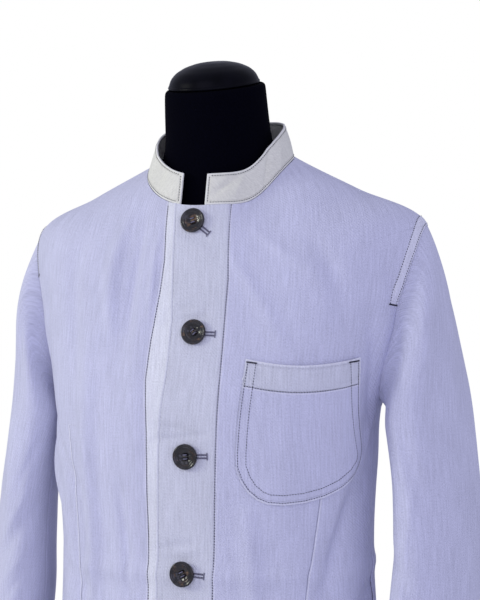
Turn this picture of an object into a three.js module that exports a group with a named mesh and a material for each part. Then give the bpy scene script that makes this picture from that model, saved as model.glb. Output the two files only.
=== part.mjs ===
import * as THREE from 'three';

// A denim jacket with a band collar on a tabletop dress form.
// Millimetres, +Z up. The front faces -Y and the wearer's left is +X.
// The origin is under the middle of the round foot.

// Driving dimensions
const shoulderHeight = 900;
const clothWall = 1.6;
const collarWall = 2.4;
const seamGap = 0.3;
const frontLift = 2.3;
const liftInnerX = 30;
const liftOuterX = 78;
const underlapX = 22;
const collarEndX = { left: 11, right: -16 };
const arcPerDegree = 2.4;

const clothPaint = { color: 0xc8c9de, roughness: 0.88, metalness: 0 };
const hornPaint = { color: 0x1d1713, roughness: 0.3, metalness: 0 };
const jerseyPaint = { color: 0x06070f, roughness: 0.95, metalness: 0 };
const glossPaint = { color: 0x050509, roughness: 0.12, metalness: 0 };
const poleMetal = { color: 0x26262a, roughness: 0.35, metalness: 0.8 };

// Rings of the jacket's body from the neckline down to the hem. Heights are measured from the
// shoulder point of the neckline. half, front and back are the reaches to the side, front and back
// of a middle at x shiftX, and edgeX is the free edge of the wearer's left front, over the right one.
// sag is how far a ring hangs lower over the wearer's left collarbone.
const bodyRings = [
  { frontZ: -42, sideZ: 8, backZ: 20, half: 79, front: 80, back: 66,
    middle: -2, shiftX: 0, power: 2, edgeX: -22, sag: 12 },
  { frontZ: -104, sideZ: -23, backZ: -50, half: 147, front: 102, back: 89,
    middle: 6, shiftX: 0, power: 1.9, edgeX: -19, sag: 4 },
  { frontZ: -172, sideZ: -61, backZ: -128, half: 219.5, front: 128, back: 94,
    middle: 18, shiftX: -1, power: 1.7, edgeX: -16, sag: 0 },
  { frontZ: -212, sideZ: -150, backZ: -192, half: 206, front: 132, back: 107,
    middle: 15, shiftX: -4, power: 1.95, edgeX: -18, sag: 0 },
  { frontZ: -258, sideZ: -240, backZ: -252, half: 179, front: 130, back: 110,
    middle: 8, shiftX: -7.5, power: 2.3, edgeX: -23, sag: 0 },
  { frontZ: -318, sideZ: -308, backZ: -318, half: 173.5, front: 126, back: 106,
    middle: 5, shiftX: -7.5, power: 2.4, edgeX: -25, sag: 0 },
  { frontZ: -405, sideZ: -400, backZ: -404, half: 168.5, front: 119, back: 98,
    middle: 2, shiftX: -5.5, power: 2.4, edgeX: -27, sag: 0 },
  { frontZ: -536, sideZ: -533, backZ: -537, half: 174.5, front: 125, back: 113,
    middle: 0, shiftX: -3.5, power: 2.3, edgeX: -28, sag: 0 },
  { frontZ: -678, sideZ: -675, backZ: -682, half: 183, front: 131, back: 123,
    middle: 0, shiftX: -3.5, power: 2.3, edgeX: -28, sag: 0 },
];
const collarbone = { angle: 43, spread: 22 };
const tipLevel = 2;
const underarmLevel = 4;
const hemLevel = 8;
const armholeFront = 10;
const armholeBack = 13;

// The collar's top edge, in the same words as the body's rings
const collarTop = {
  frontZ: -9, sideZ: 41, backZ: 57, half: 69, front: 72, back: 59, middle: -2, shiftX: 0, power: 2,
  sag: 10,
};

// Largest soft folds of the body: angle round the body from the centre front, height, width and depth
const bodyFolds = [
  { angle: -38, z: -62, toAngle: -29, toZ: -190, width: 13, depth: -3.5 },
  { angle: -24, z: -110, toAngle: -17, toZ: -330, width: 12, depth: 2 },
  { angle: -43, z: -235, toAngle: -37, toZ: -470, width: 15, depth: -4 },
  { angle: -53, z: -300, toAngle: -52, toZ: -640, width: 14, depth: 3 },
  { angle: 66, z: -140, toAngle: 80, toZ: -262, width: 15, depth: -3 },
  { angle: 86, z: -285, toAngle: 61, toZ: -430, width: 15, depth: -4 },
  { angle: 45, z: -470, toAngle: 41, toZ: -675, width: 16, depth: 3 },
  { angle: 122, z: -130, toAngle: 112, toZ: -270, width: 14, depth: -4 },
  { angle: -120, z: -140, toAngle: -110, toZ: -290, width: 14, depth: -4.5 },
  { angle: 150, z: -330, toAngle: 128, toZ: -420, width: 14, depth: -3.5 },
  { angle: -158, z: -300, toAngle: -126, toZ: -400, width: 13, depth: -4 },
  { angle: 160, z: -440, toAngle: 156, toZ: -680, width: 20, depth: 4 },
  { angle: -148, z: -430, toAngle: -150, toZ: -680, width: 18, depth: 3.5 },
];

// Ovals of the sleeve below the armhole. long reaches forward and back, short outward and inward.
const sleeveOvals = [
  { z: -268, x: 223, y: 12, long: 67, short: 33, turn: 20 },
  { z: -330, x: 231.5, y: 7, long: 69, short: 31, turn: 20 },
  { z: -400, x: 234, y: 0, long: 72, short: 32.5, turn: 19 },
  { z: -470, x: 232, y: -12, long: 73, short: 34, turn: 18 },
  { z: -560, x: 234, y: -30, long: 67, short: 30.5, turn: 17 },
  { z: -672, x: 236, y: -54, long: 62, short: 30, turn: 16 },
];
const sleeveSeams = { front: 150, back: 240 };
const capRows = 5;
const sleeveRows = 16;

// Largest soft folds of a sleeve: turn round it from its outer side over the front, and height
const leftSleeveFolds = [
  { angle: 60, z: -110, toAngle: 48, toZ: -215, width: 11, depth: 3 },
  { angle: 96, z: -210, toAngle: 60, toZ: -330, width: 12, depth: -3 },
  { angle: 118, z: -395, toAngle: 50, toZ: -440, width: 12, depth: -3 },
  { angle: 250, z: -380, toAngle: 300, toZ: -450, width: 13, depth: -3 },
];
const rightSleeveFolds = [
  { angle: 76, z: -130, toAngle: 52, toZ: -250, width: 12, depth: -3 },
  { angle: 40, z: -240, toAngle: 66, toZ: -370, width: 12, depth: 3 },
  { angle: 112, z: -370, toAngle: 44, toZ: -425, width: 11, depth: -3.5 },
  { angle: 256, z: -400, toAngle: 306, toZ: -455, width: 12, depth: -3 },
];

// Chest pocket on the wearer's left: angles of its sides at the top corners and where the lower
// corners begin, heights of the top corners, and the sag of its mouth
const pocket = {
  topAngle: [29, 69], lowAngle: [27.7, 77.5], topZ: [-196, -195], sag: 7,
  mouth: 2.2, standOff: 1.2, wall: 1.4, columns: 16, rows: 9,
};

// Lower edge of the pocket at shares of the way from the centre front to the arm
const pocketLowEdge = [
  { across: 0, z: -290 },
  { across: 0.004, z: -302 },
  { across: 0.04, z: -314.5 },
  { across: 0.096, z: -325.5 },
  { across: 0.171, z: -333.5 },
  { across: 0.245, z: -337.5 },
  { across: 0.36, z: -338.8 },
  { across: 0.51, z: -336.8 },
  { across: 0.653, z: -332.3 },
  { across: 0.793, z: -324.5 },
  { across: 0.914, z: -314 },
  { across: 0.975, z: -305 },
  { across: 0.994, z: -299 },
  { across: 1, z: -292 },
];

// Side pockets in the side seams gape a little; a bag panel closes each one behind the gape
const sidePocket = {
  fromLevel: 5.88, toLevel: 7.12, gapeLeft: 2, gapeRight: 7, reach: 5, bagWall: 1.1, behind: 0.95,
};

const buttonHeights = [-58.5, -171.5, -292.5, -409, -525];
const buttonX = [1, 11, 7, 3, 2];
const buttonOutline = [
  [0, 0], [10.8, 0], [12.7, 1.2], [12.7, 3.1], [11.7, 4.1], [10, 3.6], [9.2, 2.7], [0, 2.3],
];
const buttonStandOff = 0.5;
const buttonSides = 18;

// Dress form: gaps between the cloth and the form at each ring of the body
const formGaps = [
  { side: 0.45, middle: 5 }, { side: 1.6, middle: 7 }, { side: 6, middle: 8 },
  { side: 10, middle: 8 }, { side: 9, middle: 8 }, { side: 8, middle: 8 },
  { side: 9, middle: 9 }, { side: 14, middle: 12 }, { side: 22, middle: 18 },
];
const formSides = 32;
const formBottomZ = -722;
const neckRings = [
  { frontZ: -33, sideZ: 6, backZ: 14, half: 66, front: 61, back: 53, middle: -5, shiftX: 0, power: 2, sag: 11 },
  { frontZ: 2, sideZ: 26, backZ: 32, half: 57, front: 55, back: 50, middle: -8, shiftX: 0, power: 2, sag: 5 },
  { frontZ: 36, sideZ: 48, backZ: 58, half: 56, front: 53, back: 49, middle: -14, shiftX: 0, power: 2, sag: 0 },
];
const neckTop = { z: 88, y: -21, half: 51, depth: 48, tilt: 15, shoulderDrop: 6, shoulderGrow: 3 };
const capShift = -1.2;
const capOutline = [
  [0, 0], [47.3, 0], [48.8, 1], [48.8, 2.6], [47.8, 3.8], [45.4, 10], [39.6, 16.2], [29.2, 21.5],
  [16.6, 24.7], [0, 26],
];
const capSides = 24;
const pole = { radius: 15, flangeRadius: 34, flangeHeight: 6, flangeTop: 12 };
const foot = { radius: 160, height: 14, edge: 5 };
const footSides = 36;

const part = new THREE.Group();

function addMesh(name, geometry, paint) {
  const mesh = new THREE.Mesh(geometry, new THREE.MeshStandardMaterial(paint));
  mesh.name = name;
  part.add(mesh);
  return mesh;
}

function smoothStep(from, to, value) {
  const share = Math.min(Math.max((value - from) / (to - from), 0), 1);
  return share * share * (3 - 2 * share);
}

// A smooth course through the rows of a table, each named column by itself
function rowAt(rows, level) {
  const last = rows.length - 1;
  const index = Math.min(Math.max(Math.floor(level), 0), last - 1);
  const share = level - index;
  const from = rows[index];
  const to = rows[index + 1];
  const before = rows[Math.max(index - 1, 0)];
  const after = rows[Math.min(index + 2, last)];
  const squared = share * share;
  const cubed = squared * share;
  const row = {};
  for (const key of Object.keys(from)) {
    const startSlope = (to[key] - before[key]) / 2;
    const endSlope = (after[key] - from[key]) / 2;
    row[key] = (2 * cubed - 3 * squared + 1) * from[key] + (cubed - 2 * squared + share) * startSlope
      + (3 * squared - 2 * cubed) * to[key] + (cubed - squared) * endSlope;
  }
  return row;
}

// A point of a ring, at an angle from the centre front towards the wearer's left
function ringPoint(ring, angle) {
  const turn = THREE.MathUtils.degToRad(angle);
  const side = Math.sin(turn);
  const rear = -Math.cos(turn);
  const depth = rear < 0 ? ring.front : ring.back;
  const sum = (Math.abs(side) / ring.half) ** ring.power + (Math.abs(rear) / depth) ** ring.power;
  const radius = sum ** (-1 / ring.power);
  const z = ring.sideZ + rear * (ring.backZ - ring.frontZ) / 2
    + rear * rear * ((ring.frontZ + ring.backZ) / 2 - ring.sideZ);
  const fromCollarbone = ((angle - collarbone.angle + 540) % 360 - 180) / collarbone.spread;
  const hang = ring.sag * Math.exp(-fromCollarbone * fromCollarbone);
  return new THREE.Vector3(ring.shiftX + radius * side, ring.middle + radius * rear, z - hang + shoulderHeight);
}

// How far one of the folds moves a place of the chart of arc length and height
function foldDepth(fold, arcScale, angle, z) {
  const startArc = fold.angle * arcScale;
  const alongArc = fold.toAngle * arcScale - startArc;
  const alongZ = fold.toZ - fold.z;
  const length = Math.hypot(alongArc, alongZ);
  const awayArc = angle * arcScale - startArc;
  const awayZ = z - fold.z;
  const along = (awayArc * alongArc + awayZ * alongZ) / length / length;
  const across = (awayArc * alongZ - awayZ * alongArc) / length;
  const reach = Math.max(0, -along, along - 1) * length;
  const fade = Math.exp(-((reach / fold.width / 1.6) ** 2));
  const swell = 0.55 + 0.45 * Math.sin(Math.PI * Math.min(Math.max(along, 0), 1));
  return fold.depth * swell * fade * Math.exp(-((across / fold.width) ** 2));
}

// The smooth body before folds
function bodyForm(angle, level) {
  return ringPoint(rowAt(bodyRings, level), angle);
}

// Direction out of a surface, from two steps along it
function outward(surface, across, along) {
  const step = 0.01;
  const upper = Math.max(along - step, 0);
  const acrossStep = surface(across + 1, along).sub(surface(across - 1, along));
  const alongStep = surface(across, along + step).sub(surface(across, upper));
  return alongStep.cross(acrossStep).normalize();
}

function bodyNormal(angle, level) {
  return outward(bodyForm, angle, level);
}

// Jacket body with its folds, moved out of its surface by a distance
function bodyPoint(angle, level, out = 0) {
  const point = bodyForm(angle, level);
  const z = point.z - shoulderHeight;
  let depth = 0;
  for (const fold of bodyFolds) {
    depth += foldDepth(fold, arcPerDegree, angle, z);
  }
  const calm = smoothStep(0, 0.5, level);
  return point.addScaledVector(bodyNormal(angle, level), depth * calm + out);
}

// The wearer's left front lies over the right one along the centre
function leftFrontLift(x) {
  return frontLift * (1 - smoothStep(liftInnerX, liftOuterX, x));
}

function leftFrontPoint(angle, level, out = 0) {
  const lift = leftFrontLift(bodyForm(angle, level).x);
  return bodyPoint(angle, level, lift + out);
}

// Closed wall over a grid. pair gives the outer and the inner point at shares of its two directions,
// the first to the right and the second downwards as seen from outside.
function sheetGeometry(columns, rows, pair) {
  const outer = [];
  const inner = [];
  for (let j = 0; j <= rows; j += 1) {
    for (let i = 0; i <= columns; i += 1) {
      const [outerPoint, innerPoint] = pair(i / columns, j / rows);
      outer.push(outerPoint);
      inner.push(innerPoint);
    }
  }
  const stride = columns + 1;
  const offset = outer.length;
  const faces = [];
  for (let j = 0; j < rows; j += 1) {
    for (let i = 0; i < columns; i += 1) {
      const a = j * stride + i;
      const b = a + 1;
      const c = a + stride;
      const d = c + 1;
      faces.push(a, c, b, c, d, b);
      faces.push(offset + a, offset + b, offset + c, offset + c, offset + b, offset + d);
    }
  }
  const rim = [];
  for (let j = 0; j < rows; j += 1) {
    rim.push(j * stride);
  }
  for (let i = 0; i < columns; i += 1) {
    rim.push(rows * stride + i);
  }
  for (let j = rows; j > 0; j -= 1) {
    rim.push(j * stride + columns);
  }
  for (let i = columns; i > 0; i -= 1) {
    rim.push(i);
  }
  rim.forEach((from, index) => {
    const to = rim[(index + 1) % rim.length];
    faces.push(to, from, offset + from, to, offset + from, offset + to);
  });
  const geometry = new THREE.BufferGeometry().setFromPoints([...outer, ...inner]);
  geometry.setIndex(faces);
  geometry.computeVertexNormals();
  return geometry;
}

// Closed solid through rings of equal count, from the lowest to the highest
function ringSolid(rings) {
  const count = rings[0].length;
  const points = rings.flat();
  const faces = [];
  for (let j = 0; j < rings.length - 1; j += 1) {
    for (let i = 0; i < count; i += 1) {
      const a = j * count + i;
      const b = j * count + (i + 1) % count;
      faces.push(a, b, a + count, b, b + count, a + count);
    }
  }
  const middleOf = (ring) => ring.reduce((sum, point) => sum.add(point), new THREE.Vector3()).divideScalar(count);
  const bottom = points.push(middleOf(rings[0])) - 1;
  const top = points.push(middleOf(rings[rings.length - 1])) - 1;
  const topStart = (rings.length - 1) * count;
  for (let i = 0; i < count; i += 1) {
    const next = (i + 1) % count;
    faces.push(bottom, next, i, top, topStart + i, topStart + next);
  }
  const geometry = new THREE.BufferGeometry().setFromPoints(points);
  geometry.setIndex(faces);
  geometry.computeVertexNormals();
  return geometry;
}

// Levels of a body panel's rows: close together round the armhole, whose outline is an oval
const shoulderRows = 5;
const armholeRows = 12;
const sideRows = 11;
const panelRows = shoulderRows + armholeRows + sideRows;

function panelLevel(share) {
  const row = share * panelRows;
  if (row <= shoulderRows) {
    return tipLevel * row / shoulderRows;
  }
  if (row <= shoulderRows + armholeRows) {
    return 3 - Math.cos(Math.PI * (row - shoulderRows) / armholeRows);
  }
  return underarmLevel + (hemLevel - underarmLevel) * (row - shoulderRows - armholeRows) / sideRows;
}

function armholeShare(level) {
  const away = Math.min(Math.abs(level - 3), 1);
  return Math.sqrt(1 - away * away);
}

function halfSeamAngle(level) {
  return THREE.MathUtils.radToDeg(seamGap / 2 / rowAt(bodyRings, level).half);
}

function frontSeamAngle(level) {
  return 90 - armholeFront * armholeShare(level) - halfSeamAngle(level);
}

function backSeamAngle(level) {
  return 90 + armholeBack * armholeShare(level) + halfSeamAngle(level);
}

// Angle at which a ring reaches a small distance from the centre front
function angleAtX(x, level) {
  const ring = rowAt(bodyRings, level);
  return THREE.MathUtils.radToDeg(Math.asin((x - ring.shiftX) / ring.front));
}

function overlapAngle(level) {
  return angleAtX(rowAt(bodyRings, level).edgeX, level);
}

function underlapAngle(level) {
  return angleAtX(underlapX, level);
}

function mix(from, to, share) {
  return from + (to - from) * share;
}

// Fronts
const frontColumns = 16;
addMesh('front_left', sheetGeometry(frontColumns, panelRows, (u, v) => {
  const level = panelLevel(v);
  const angle = mix(overlapAngle(level), frontSeamAngle(level), u);
  return [leftFrontPoint(angle, level), leftFrontPoint(angle, level, -clothWall)];
}), clothPaint);

addMesh('front_right', sheetGeometry(frontColumns, panelRows, (u, v) => {
  const level = panelLevel(v);
  const angle = mix(-frontSeamAngle(level), underlapAngle(level), u);
  return [bodyPoint(angle, level), bodyPoint(angle, level, -clothWall)];
}), clothPaint);

// The back's side edges stand out over the side pockets
function gapeDepth(angle, level) {
  const share = (level - sidePocket.fromLevel) / (sidePocket.toLevel - sidePocket.fromLevel);
  if (share <= 0 || share >= 1) {
    return 0;
  }
  const away = Math.min(Math.abs(angle - 90), Math.abs(angle - 270)) / sidePocket.reach;
  const gape = angle < 180 ? sidePocket.gapeLeft : sidePocket.gapeRight;
  return gape * Math.sin(Math.PI * share) ** 0.7 * Math.exp(-away * away);
}

const backColumns = 22;
addMesh('back', sheetGeometry(backColumns, panelRows, (u, v) => {
  const level = panelLevel(v);
  const seam = backSeamAngle(level);
  const angle = mix(seam, 360 - seam, u);
  const signedAngle = angle > 180 ? angle - 360 : angle;
  const gape = gapeDepth(angle, level);
  return [bodyPoint(signedAngle, level, gape), bodyPoint(signedAngle, level, gape - clothWall)];
}), clothPaint);

// Band collar on the neckline, open at the centre front
function collarPoint(angle, height) {
  const overLeftFront = angle > 0 && angle < 90;
  const lift = overLeftFront ? leftFrontLift(bodyForm(angle, 0).x) : 0;
  const top = ringPoint(collarTop, angle);
  const rear = new THREE.Vector3(top.x, top.y, 0).normalize();
  return bodyPoint(angle, 0, lift).lerp(top.addScaledVector(rear, lift), height);
}

function collarEndAngle(x, height) {
  return THREE.MathUtils.radToDeg(Math.asin(x / mix(bodyRings[0].front, collarTop.front, height)));
}

const collarColumns = 42;
const collarRows = 3;
addMesh('collar', sheetGeometry(collarColumns, collarRows, (u, v) => {
  const height = 1 - v * (1 - seamGap / 35);
  const turn = mix(collarEndAngle(collarEndX.left, height), 360 + collarEndAngle(collarEndX.right, height), u);
  const angle = turn > 180 ? turn - 360 : turn;
  const outer = collarPoint(angle, height);
  const across = collarPoint(angle + 1, height).sub(collarPoint(angle - 1, height));
  const down = collarPoint(angle, height - 0.1).sub(collarPoint(angle, height));
  const inner = outer.clone().addScaledVector(down.cross(across).normalize(), -collarWall);
  return [outer, inner];
}), clothPaint);

// Sleeves: from the armhole over the cap to the ovals, with two seams. Each is worked out on the
// wearer's left and mirrored for the other side, but its armhole is that side's own.
function armholePoint(turn, side) {
  const half = Math.sin(turn) > 0 ? armholeFront : armholeBack;
  const point = bodyPoint(side * (90 - half * Math.sin(turn)), 3 - Math.cos(turn));
  point.x *= side;
  return point;
}

function ovalPoint(oval, turn) {
  const lean = THREE.MathUtils.degToRad(oval.turn);
  const outwardReach = oval.short * Math.cos(turn);
  const forwardReach = oval.long * Math.sin(turn);
  return new THREE.Vector3(
    oval.x + outwardReach * Math.cos(lean) - forwardReach * Math.sin(lean),
    oval.y - outwardReach * Math.sin(lean) - forwardReach * Math.cos(lean),
    oval.z + shoulderHeight,
  );
}

const capTopRun = new THREE.Vector3(0.42, -0.02, -0.85);
const capFrontRun = new THREE.Vector3(0.62, -0.5, -0.6);
const capUnderRun = new THREE.Vector3(0.55, 0, -0.83);
const capBackRun = new THREE.Vector3(0.62, 0.45, -0.64);

// Direction in which the sleeve leaves the armhole
function capRun(turn) {
  const top = Math.max(Math.cos(turn), 0) ** 2;
  const under = Math.max(-Math.cos(turn), 0) ** 2;
  const front = Math.max(Math.sin(turn), 0) ** 2;
  const rear = Math.max(-Math.sin(turn), 0) ** 2;
  return new THREE.Vector3().addScaledVector(capTopRun, top).addScaledVector(capUnderRun, under)
    .addScaledVector(capFrontRun, front).addScaledVector(capBackRun, rear).normalize();
}

const lastOval = sleeveOvals.length - 1;

// level runs from 0 at the armhole over 1 at the first oval to the cuff
function sleeveForm(angle, level, side) {
  const turn = THREE.MathUtils.degToRad(angle);
  if (level > 1) {
    return ovalPoint(rowAt(sleeveOvals, (level - 1)), turn);
  }
  const from = armholePoint(turn, side);
  const to = ovalPoint(sleeveOvals[0], turn);
  const chord = from.distanceTo(to);
  const leave = capRun(turn).multiplyScalar(chord);
  const arrive = ovalPoint(sleeveOvals[1], turn).sub(to).normalize().multiplyScalar(chord);
  const squared = level * level;
  const cubed = squared * level;
  return from.addScaledVector(capRun(turn), seamGap * (1 - level)).multiplyScalar(2 * cubed - 3 * squared + 1)
    .addScaledVector(to, 3 * squared - 2 * cubed)
    .addScaledVector(leave, cubed - 2 * squared + level)
    .addScaledVector(arrive, cubed - squared);
}

function sleeveNormal(angle, level, side) {
  const form = (across, along) => sleeveForm(across, along, side);
  const own = outward(form, angle, level).negate();
  if (level >= 0.4) {
    return own;
  }
  const centre = armholePoint(0, side).add(armholePoint(Math.PI, side)).multiplyScalar(0.5);
  const radial = armholePoint(THREE.MathUtils.degToRad(angle), side).sub(centre).setX(0).normalize();
  const share = smoothStep(0, 0.4, level);
  return radial.multiplyScalar(1 - share).addScaledVector(own, share).normalize();
}

function sleevePoint(side, folds, angle, level, out = 0) {
  const point = sleeveForm(angle, level, side);
  const z = point.z - shoulderHeight;
  let depth = 0;
  for (const fold of folds) {
    depth += foldDepth(fold, 0.8, angle, z);
  }
  const calm = smoothStep(0.05, 0.5, level);
  return point.addScaledVector(sleeveNormal(angle, level, side), depth * calm + out);
}

function sleeveLevel(share) {
  const row = share * sleeveRows;
  if (row <= capRows) {
    return row / capRows;
  }
  return 1 + lastOval * (row - capRows) / (sleeveRows - capRows);
}

const sleeveSeamAngle = THREE.MathUtils.radToDeg(seamGap / 2 / 45);

function addSleevePiece(name, side, folds, fromAngle, toAngle, columns) {
  addMesh(name, sheetGeometry(columns, sleeveRows, (u, v) => {
    const level = sleeveLevel(v);
    const share = side > 0 ? 1 - u : u;
    const angle = mix(fromAngle + sleeveSeamAngle, toAngle - sleeveSeamAngle, share);
    const outer = sleevePoint(side, folds, angle, level);
    const inner = sleevePoint(side, folds, angle, level, -clothWall);
    outer.x *= side;
    inner.x *= side;
    return [outer, inner];
  }), clothPaint);
}

const topColumns = 18;
const underColumns = 6;
for (const [word, side, folds] of [['left', 1, leftSleeveFolds], ['right', -1, rightSleeveFolds]]) {
  addSleevePiece(`sleeve_${word}_top`, side, folds, sleeveSeams.back - 360, sleeveSeams.front, topColumns);
  addSleevePiece(`sleeve_${word}_under`, side, folds, sleeveSeams.front, sleeveSeams.back, underColumns);
}

// Level at which the left front reaches a height, found by halving
function levelAtHeight(angle, z) {
  let low = 0;
  let high = hemLevel;
  for (let step = 0; step < 24; step += 1) {
    const level = (low + high) / 2;
    if (bodyForm(angle, level).z - shoulderHeight > z) {
      low = level;
    } else {
      high = level;
    }
  }
  return (low + high) / 2;
}

// Height of the pocket's lower edge, between the rows of its table
function pocketLowZ(across) {
  const index = Math.max(pocketLowEdge.findIndex((row) => row.across >= across), 1);
  const from = pocketLowEdge[index - 1];
  const to = pocketLowEdge[index];
  return mix(from.z, to.z, (across - from.across) / (to.across - from.across));
}

// Patch pocket with round lower corners and a mouth that stands off a little
addMesh('chest_pocket', sheetGeometry(pocket.columns, pocket.rows, (u, v) => {
  const across = (1 - Math.cos(u * Math.PI)) / 2;
  const hang = Math.sin(Math.PI * across);
  const topZ = mix(pocket.topZ[0], pocket.topZ[1], across) - pocket.sag * hang;
  const z = mix(topZ, pocketLowZ(across), v);
  const leftAngle = mix(pocket.topAngle[0], pocket.lowAngle[0], v);
  const rightAngle = mix(pocket.topAngle[1], pocket.lowAngle[1], v);
  const angle = mix(leftAngle, rightAngle, across);
  const level = levelAtHeight(angle, z);
  const mouth = pocket.mouth * hang * Math.max(1 - v * 3, 0) ** 2;
  const out = pocket.standOff + mouth;
  return [leftFrontPoint(angle, level, out + pocket.wall), leftFrontPoint(angle, level, out)];
}), clothPaint);

// Bag panels behind the gapes of the side pockets
function addPocketBag(name, side) {
  const outermost = -clothWall - sidePocket.behind;
  addMesh(name, sheetGeometry(3, 8, (u, v) => {
    const level = mix(sidePocket.fromLevel - 0.05, sidePocket.toLevel + 0.05, v);
    const away = mix(-6, 9, side > 0 ? u : 1 - u);
    const angle = side * (90 + away);
    return [bodyPoint(angle, level, outermost), bodyPoint(angle, level, outermost - sidePocket.bagWall)];
  }), clothPaint);
}
addPocketBag('side_pocket_left', 1);
addPocketBag('side_pocket_right', -1);

// Buttons on the wearer's left front
const buttonProfile = buttonOutline.map(([radius, height]) => new THREE.Vector2(radius, height));
buttonHeights.forEach((z, index) => {
  const level = levelAtHeight(0, z);
  const angle = angleAtX(buttonX[index], level);
  const button = addMesh(`button_${index + 1}`, new THREE.LatheGeometry(buttonProfile, buttonSides), hornPaint);
  const normal = bodyNormal(angle, level);
  button.position.copy(leftFrontPoint(angle, level, buttonStandOff));
  button.quaternion.setFromUnitVectors(new THREE.Vector3(0, 1, 0), normal);
});

// Dress form: the body's own rings, drawn in under the cloth, with a neck and no limbs
function formRing(level) {
  const gaps = rowAt(formGaps, level);
  return Array.from({ length: formSides }, (_, index) => {
    const angle = index * 360 / formSides;
    const flank = Math.abs(Math.sin(THREE.MathUtils.degToRad(angle))) ** 6;
    const gap = clothWall + mix(gaps.middle, gaps.side, flank);
    return bodyForm(angle, level).addScaledVector(bodyNormal(angle, level), -gap);
  });
}

function plainRing(ring) {
  return Array.from({ length: formSides }, (_, index) => ringPoint(ring, index * 360 / formSides));
}

function slopedRing(drop, grow) {
  const slope = Math.tan(THREE.MathUtils.degToRad(neckTop.tilt));
  return Array.from({ length: formSides }, (_, index) => {
    const turn = index * 2 * Math.PI / formSides;
    const x = (neckTop.half + grow) * Math.sin(turn);
    const reach = -(neckTop.depth + grow) * Math.cos(turn);
    return new THREE.Vector3(x, neckTop.y + reach, neckTop.z + shoulderHeight + slope * reach - drop);
  });
}

function flatRing(ring, scale, z) {
  return ring.map((point) => new THREE.Vector3(point.x * scale, point.y * scale, z + shoulderHeight));
}

const formLevels = [8, 7.5, 7, 6.5, 6, 5.5, 5, 4.5, 4, 3.5, 3, 2.6, 2.2, 2, 1.6, 1.2, 0.8, 0.4];
const hemRing = formRing(hemLevel);
addMesh('form_body', ringSolid([
  flatRing(hemRing, 0.9, formBottomZ),
  flatRing(hemRing, 0.97, formBottomZ + 8),
  ...formLevels.map(formRing),
  ...neckRings.map(plainRing),
  slopedRing(neckTop.shoulderDrop, neckTop.shoulderGrow),
  slopedRing(1.2, neckTop.shoulderGrow - 0.8),
  slopedRing(0, 0),
]), jerseyPaint);

const capProfile = capOutline.map(([radius, height]) => new THREE.Vector2(radius, height));
const cap = addMesh('neck_cap', new THREE.LatheGeometry(capProfile, capSides), glossPaint);
const capLean = THREE.MathUtils.degToRad(neckTop.tilt);
cap.rotation.x = Math.PI / 2 + capLean;
cap.position.set(capShift, neckTop.y - seamGap * Math.sin(capLean), neckTop.z + shoulderHeight + seamGap);

// Stand: a pole in a flange on a round foot
function addTurned(name, outline, sides, paint) {
  const profile = outline.map(([radius, height]) => new THREE.Vector2(radius, height));
  const turned = addMesh(name, new THREE.LatheGeometry(profile, sides), paint);
  turned.rotation.x = Math.PI / 2;
}

const poleTop = shoulderHeight + formBottomZ - seamGap;
const poleFoot = foot.height + seamGap;
addTurned('stand_pole', [
  [0, poleFoot],
  [pole.flangeRadius, poleFoot],
  [pole.flangeRadius, poleFoot + pole.flangeHeight],
  [pole.radius + 3, poleFoot + pole.flangeTop],
  [pole.radius, poleFoot + pole.flangeTop + 3],
  [pole.radius, poleTop],
  [0, poleTop],
], 24, poleMetal);

addTurned('stand_foot', [
  [0, 0],
  [foot.radius - 1, 0],
  [foot.radius, 1],
  [foot.radius, foot.height - foot.edge],
  [foot.radius - foot.edge * 0.3, foot.height - foot.edge * 0.3],
  [foot.radius - foot.edge, foot.height],
  [0, foot.height],
], footSides, glossPaint);

export default part;
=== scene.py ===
import math

import bmesh
import bpy
import numpy as np
from mathutils import Matrix, Vector


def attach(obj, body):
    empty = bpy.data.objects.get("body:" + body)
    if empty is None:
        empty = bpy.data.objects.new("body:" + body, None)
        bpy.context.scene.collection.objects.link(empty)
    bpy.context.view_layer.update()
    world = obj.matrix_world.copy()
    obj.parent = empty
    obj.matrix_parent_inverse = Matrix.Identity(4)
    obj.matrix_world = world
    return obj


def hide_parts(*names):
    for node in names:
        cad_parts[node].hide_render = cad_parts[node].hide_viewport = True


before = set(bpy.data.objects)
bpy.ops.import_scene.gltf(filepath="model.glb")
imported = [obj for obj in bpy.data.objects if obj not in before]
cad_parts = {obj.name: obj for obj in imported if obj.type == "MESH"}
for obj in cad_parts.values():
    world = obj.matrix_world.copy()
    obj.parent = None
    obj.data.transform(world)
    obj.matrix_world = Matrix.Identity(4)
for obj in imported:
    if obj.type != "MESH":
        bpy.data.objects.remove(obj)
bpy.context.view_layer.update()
bpy.context.scene.view_settings.view_transform = "Standard"

mm = 0.001
density = 1.0
print("frame loaded")

# The jacket's own shape, in millimetres, with heights from the shoulder point of the neckline
shoulderHeight = 900
frontLift, liftInnerX, liftOuterX = 2.3, 30, 78
underlapX = 22
armholeFront, armholeBack = 10, 13
seamGap = 0.3

# Millimetres of arc in a degree round the body, a sleeve and the collar; farOff is a distance past any line
arcPerDegree, sleeveArcPerDegree, collarArcPerDegree = 2.4, 0.8, 1.25
collarHeight = 34
creaseGain = 3.0
bodyReach = 165
farOff = 99.0

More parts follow.
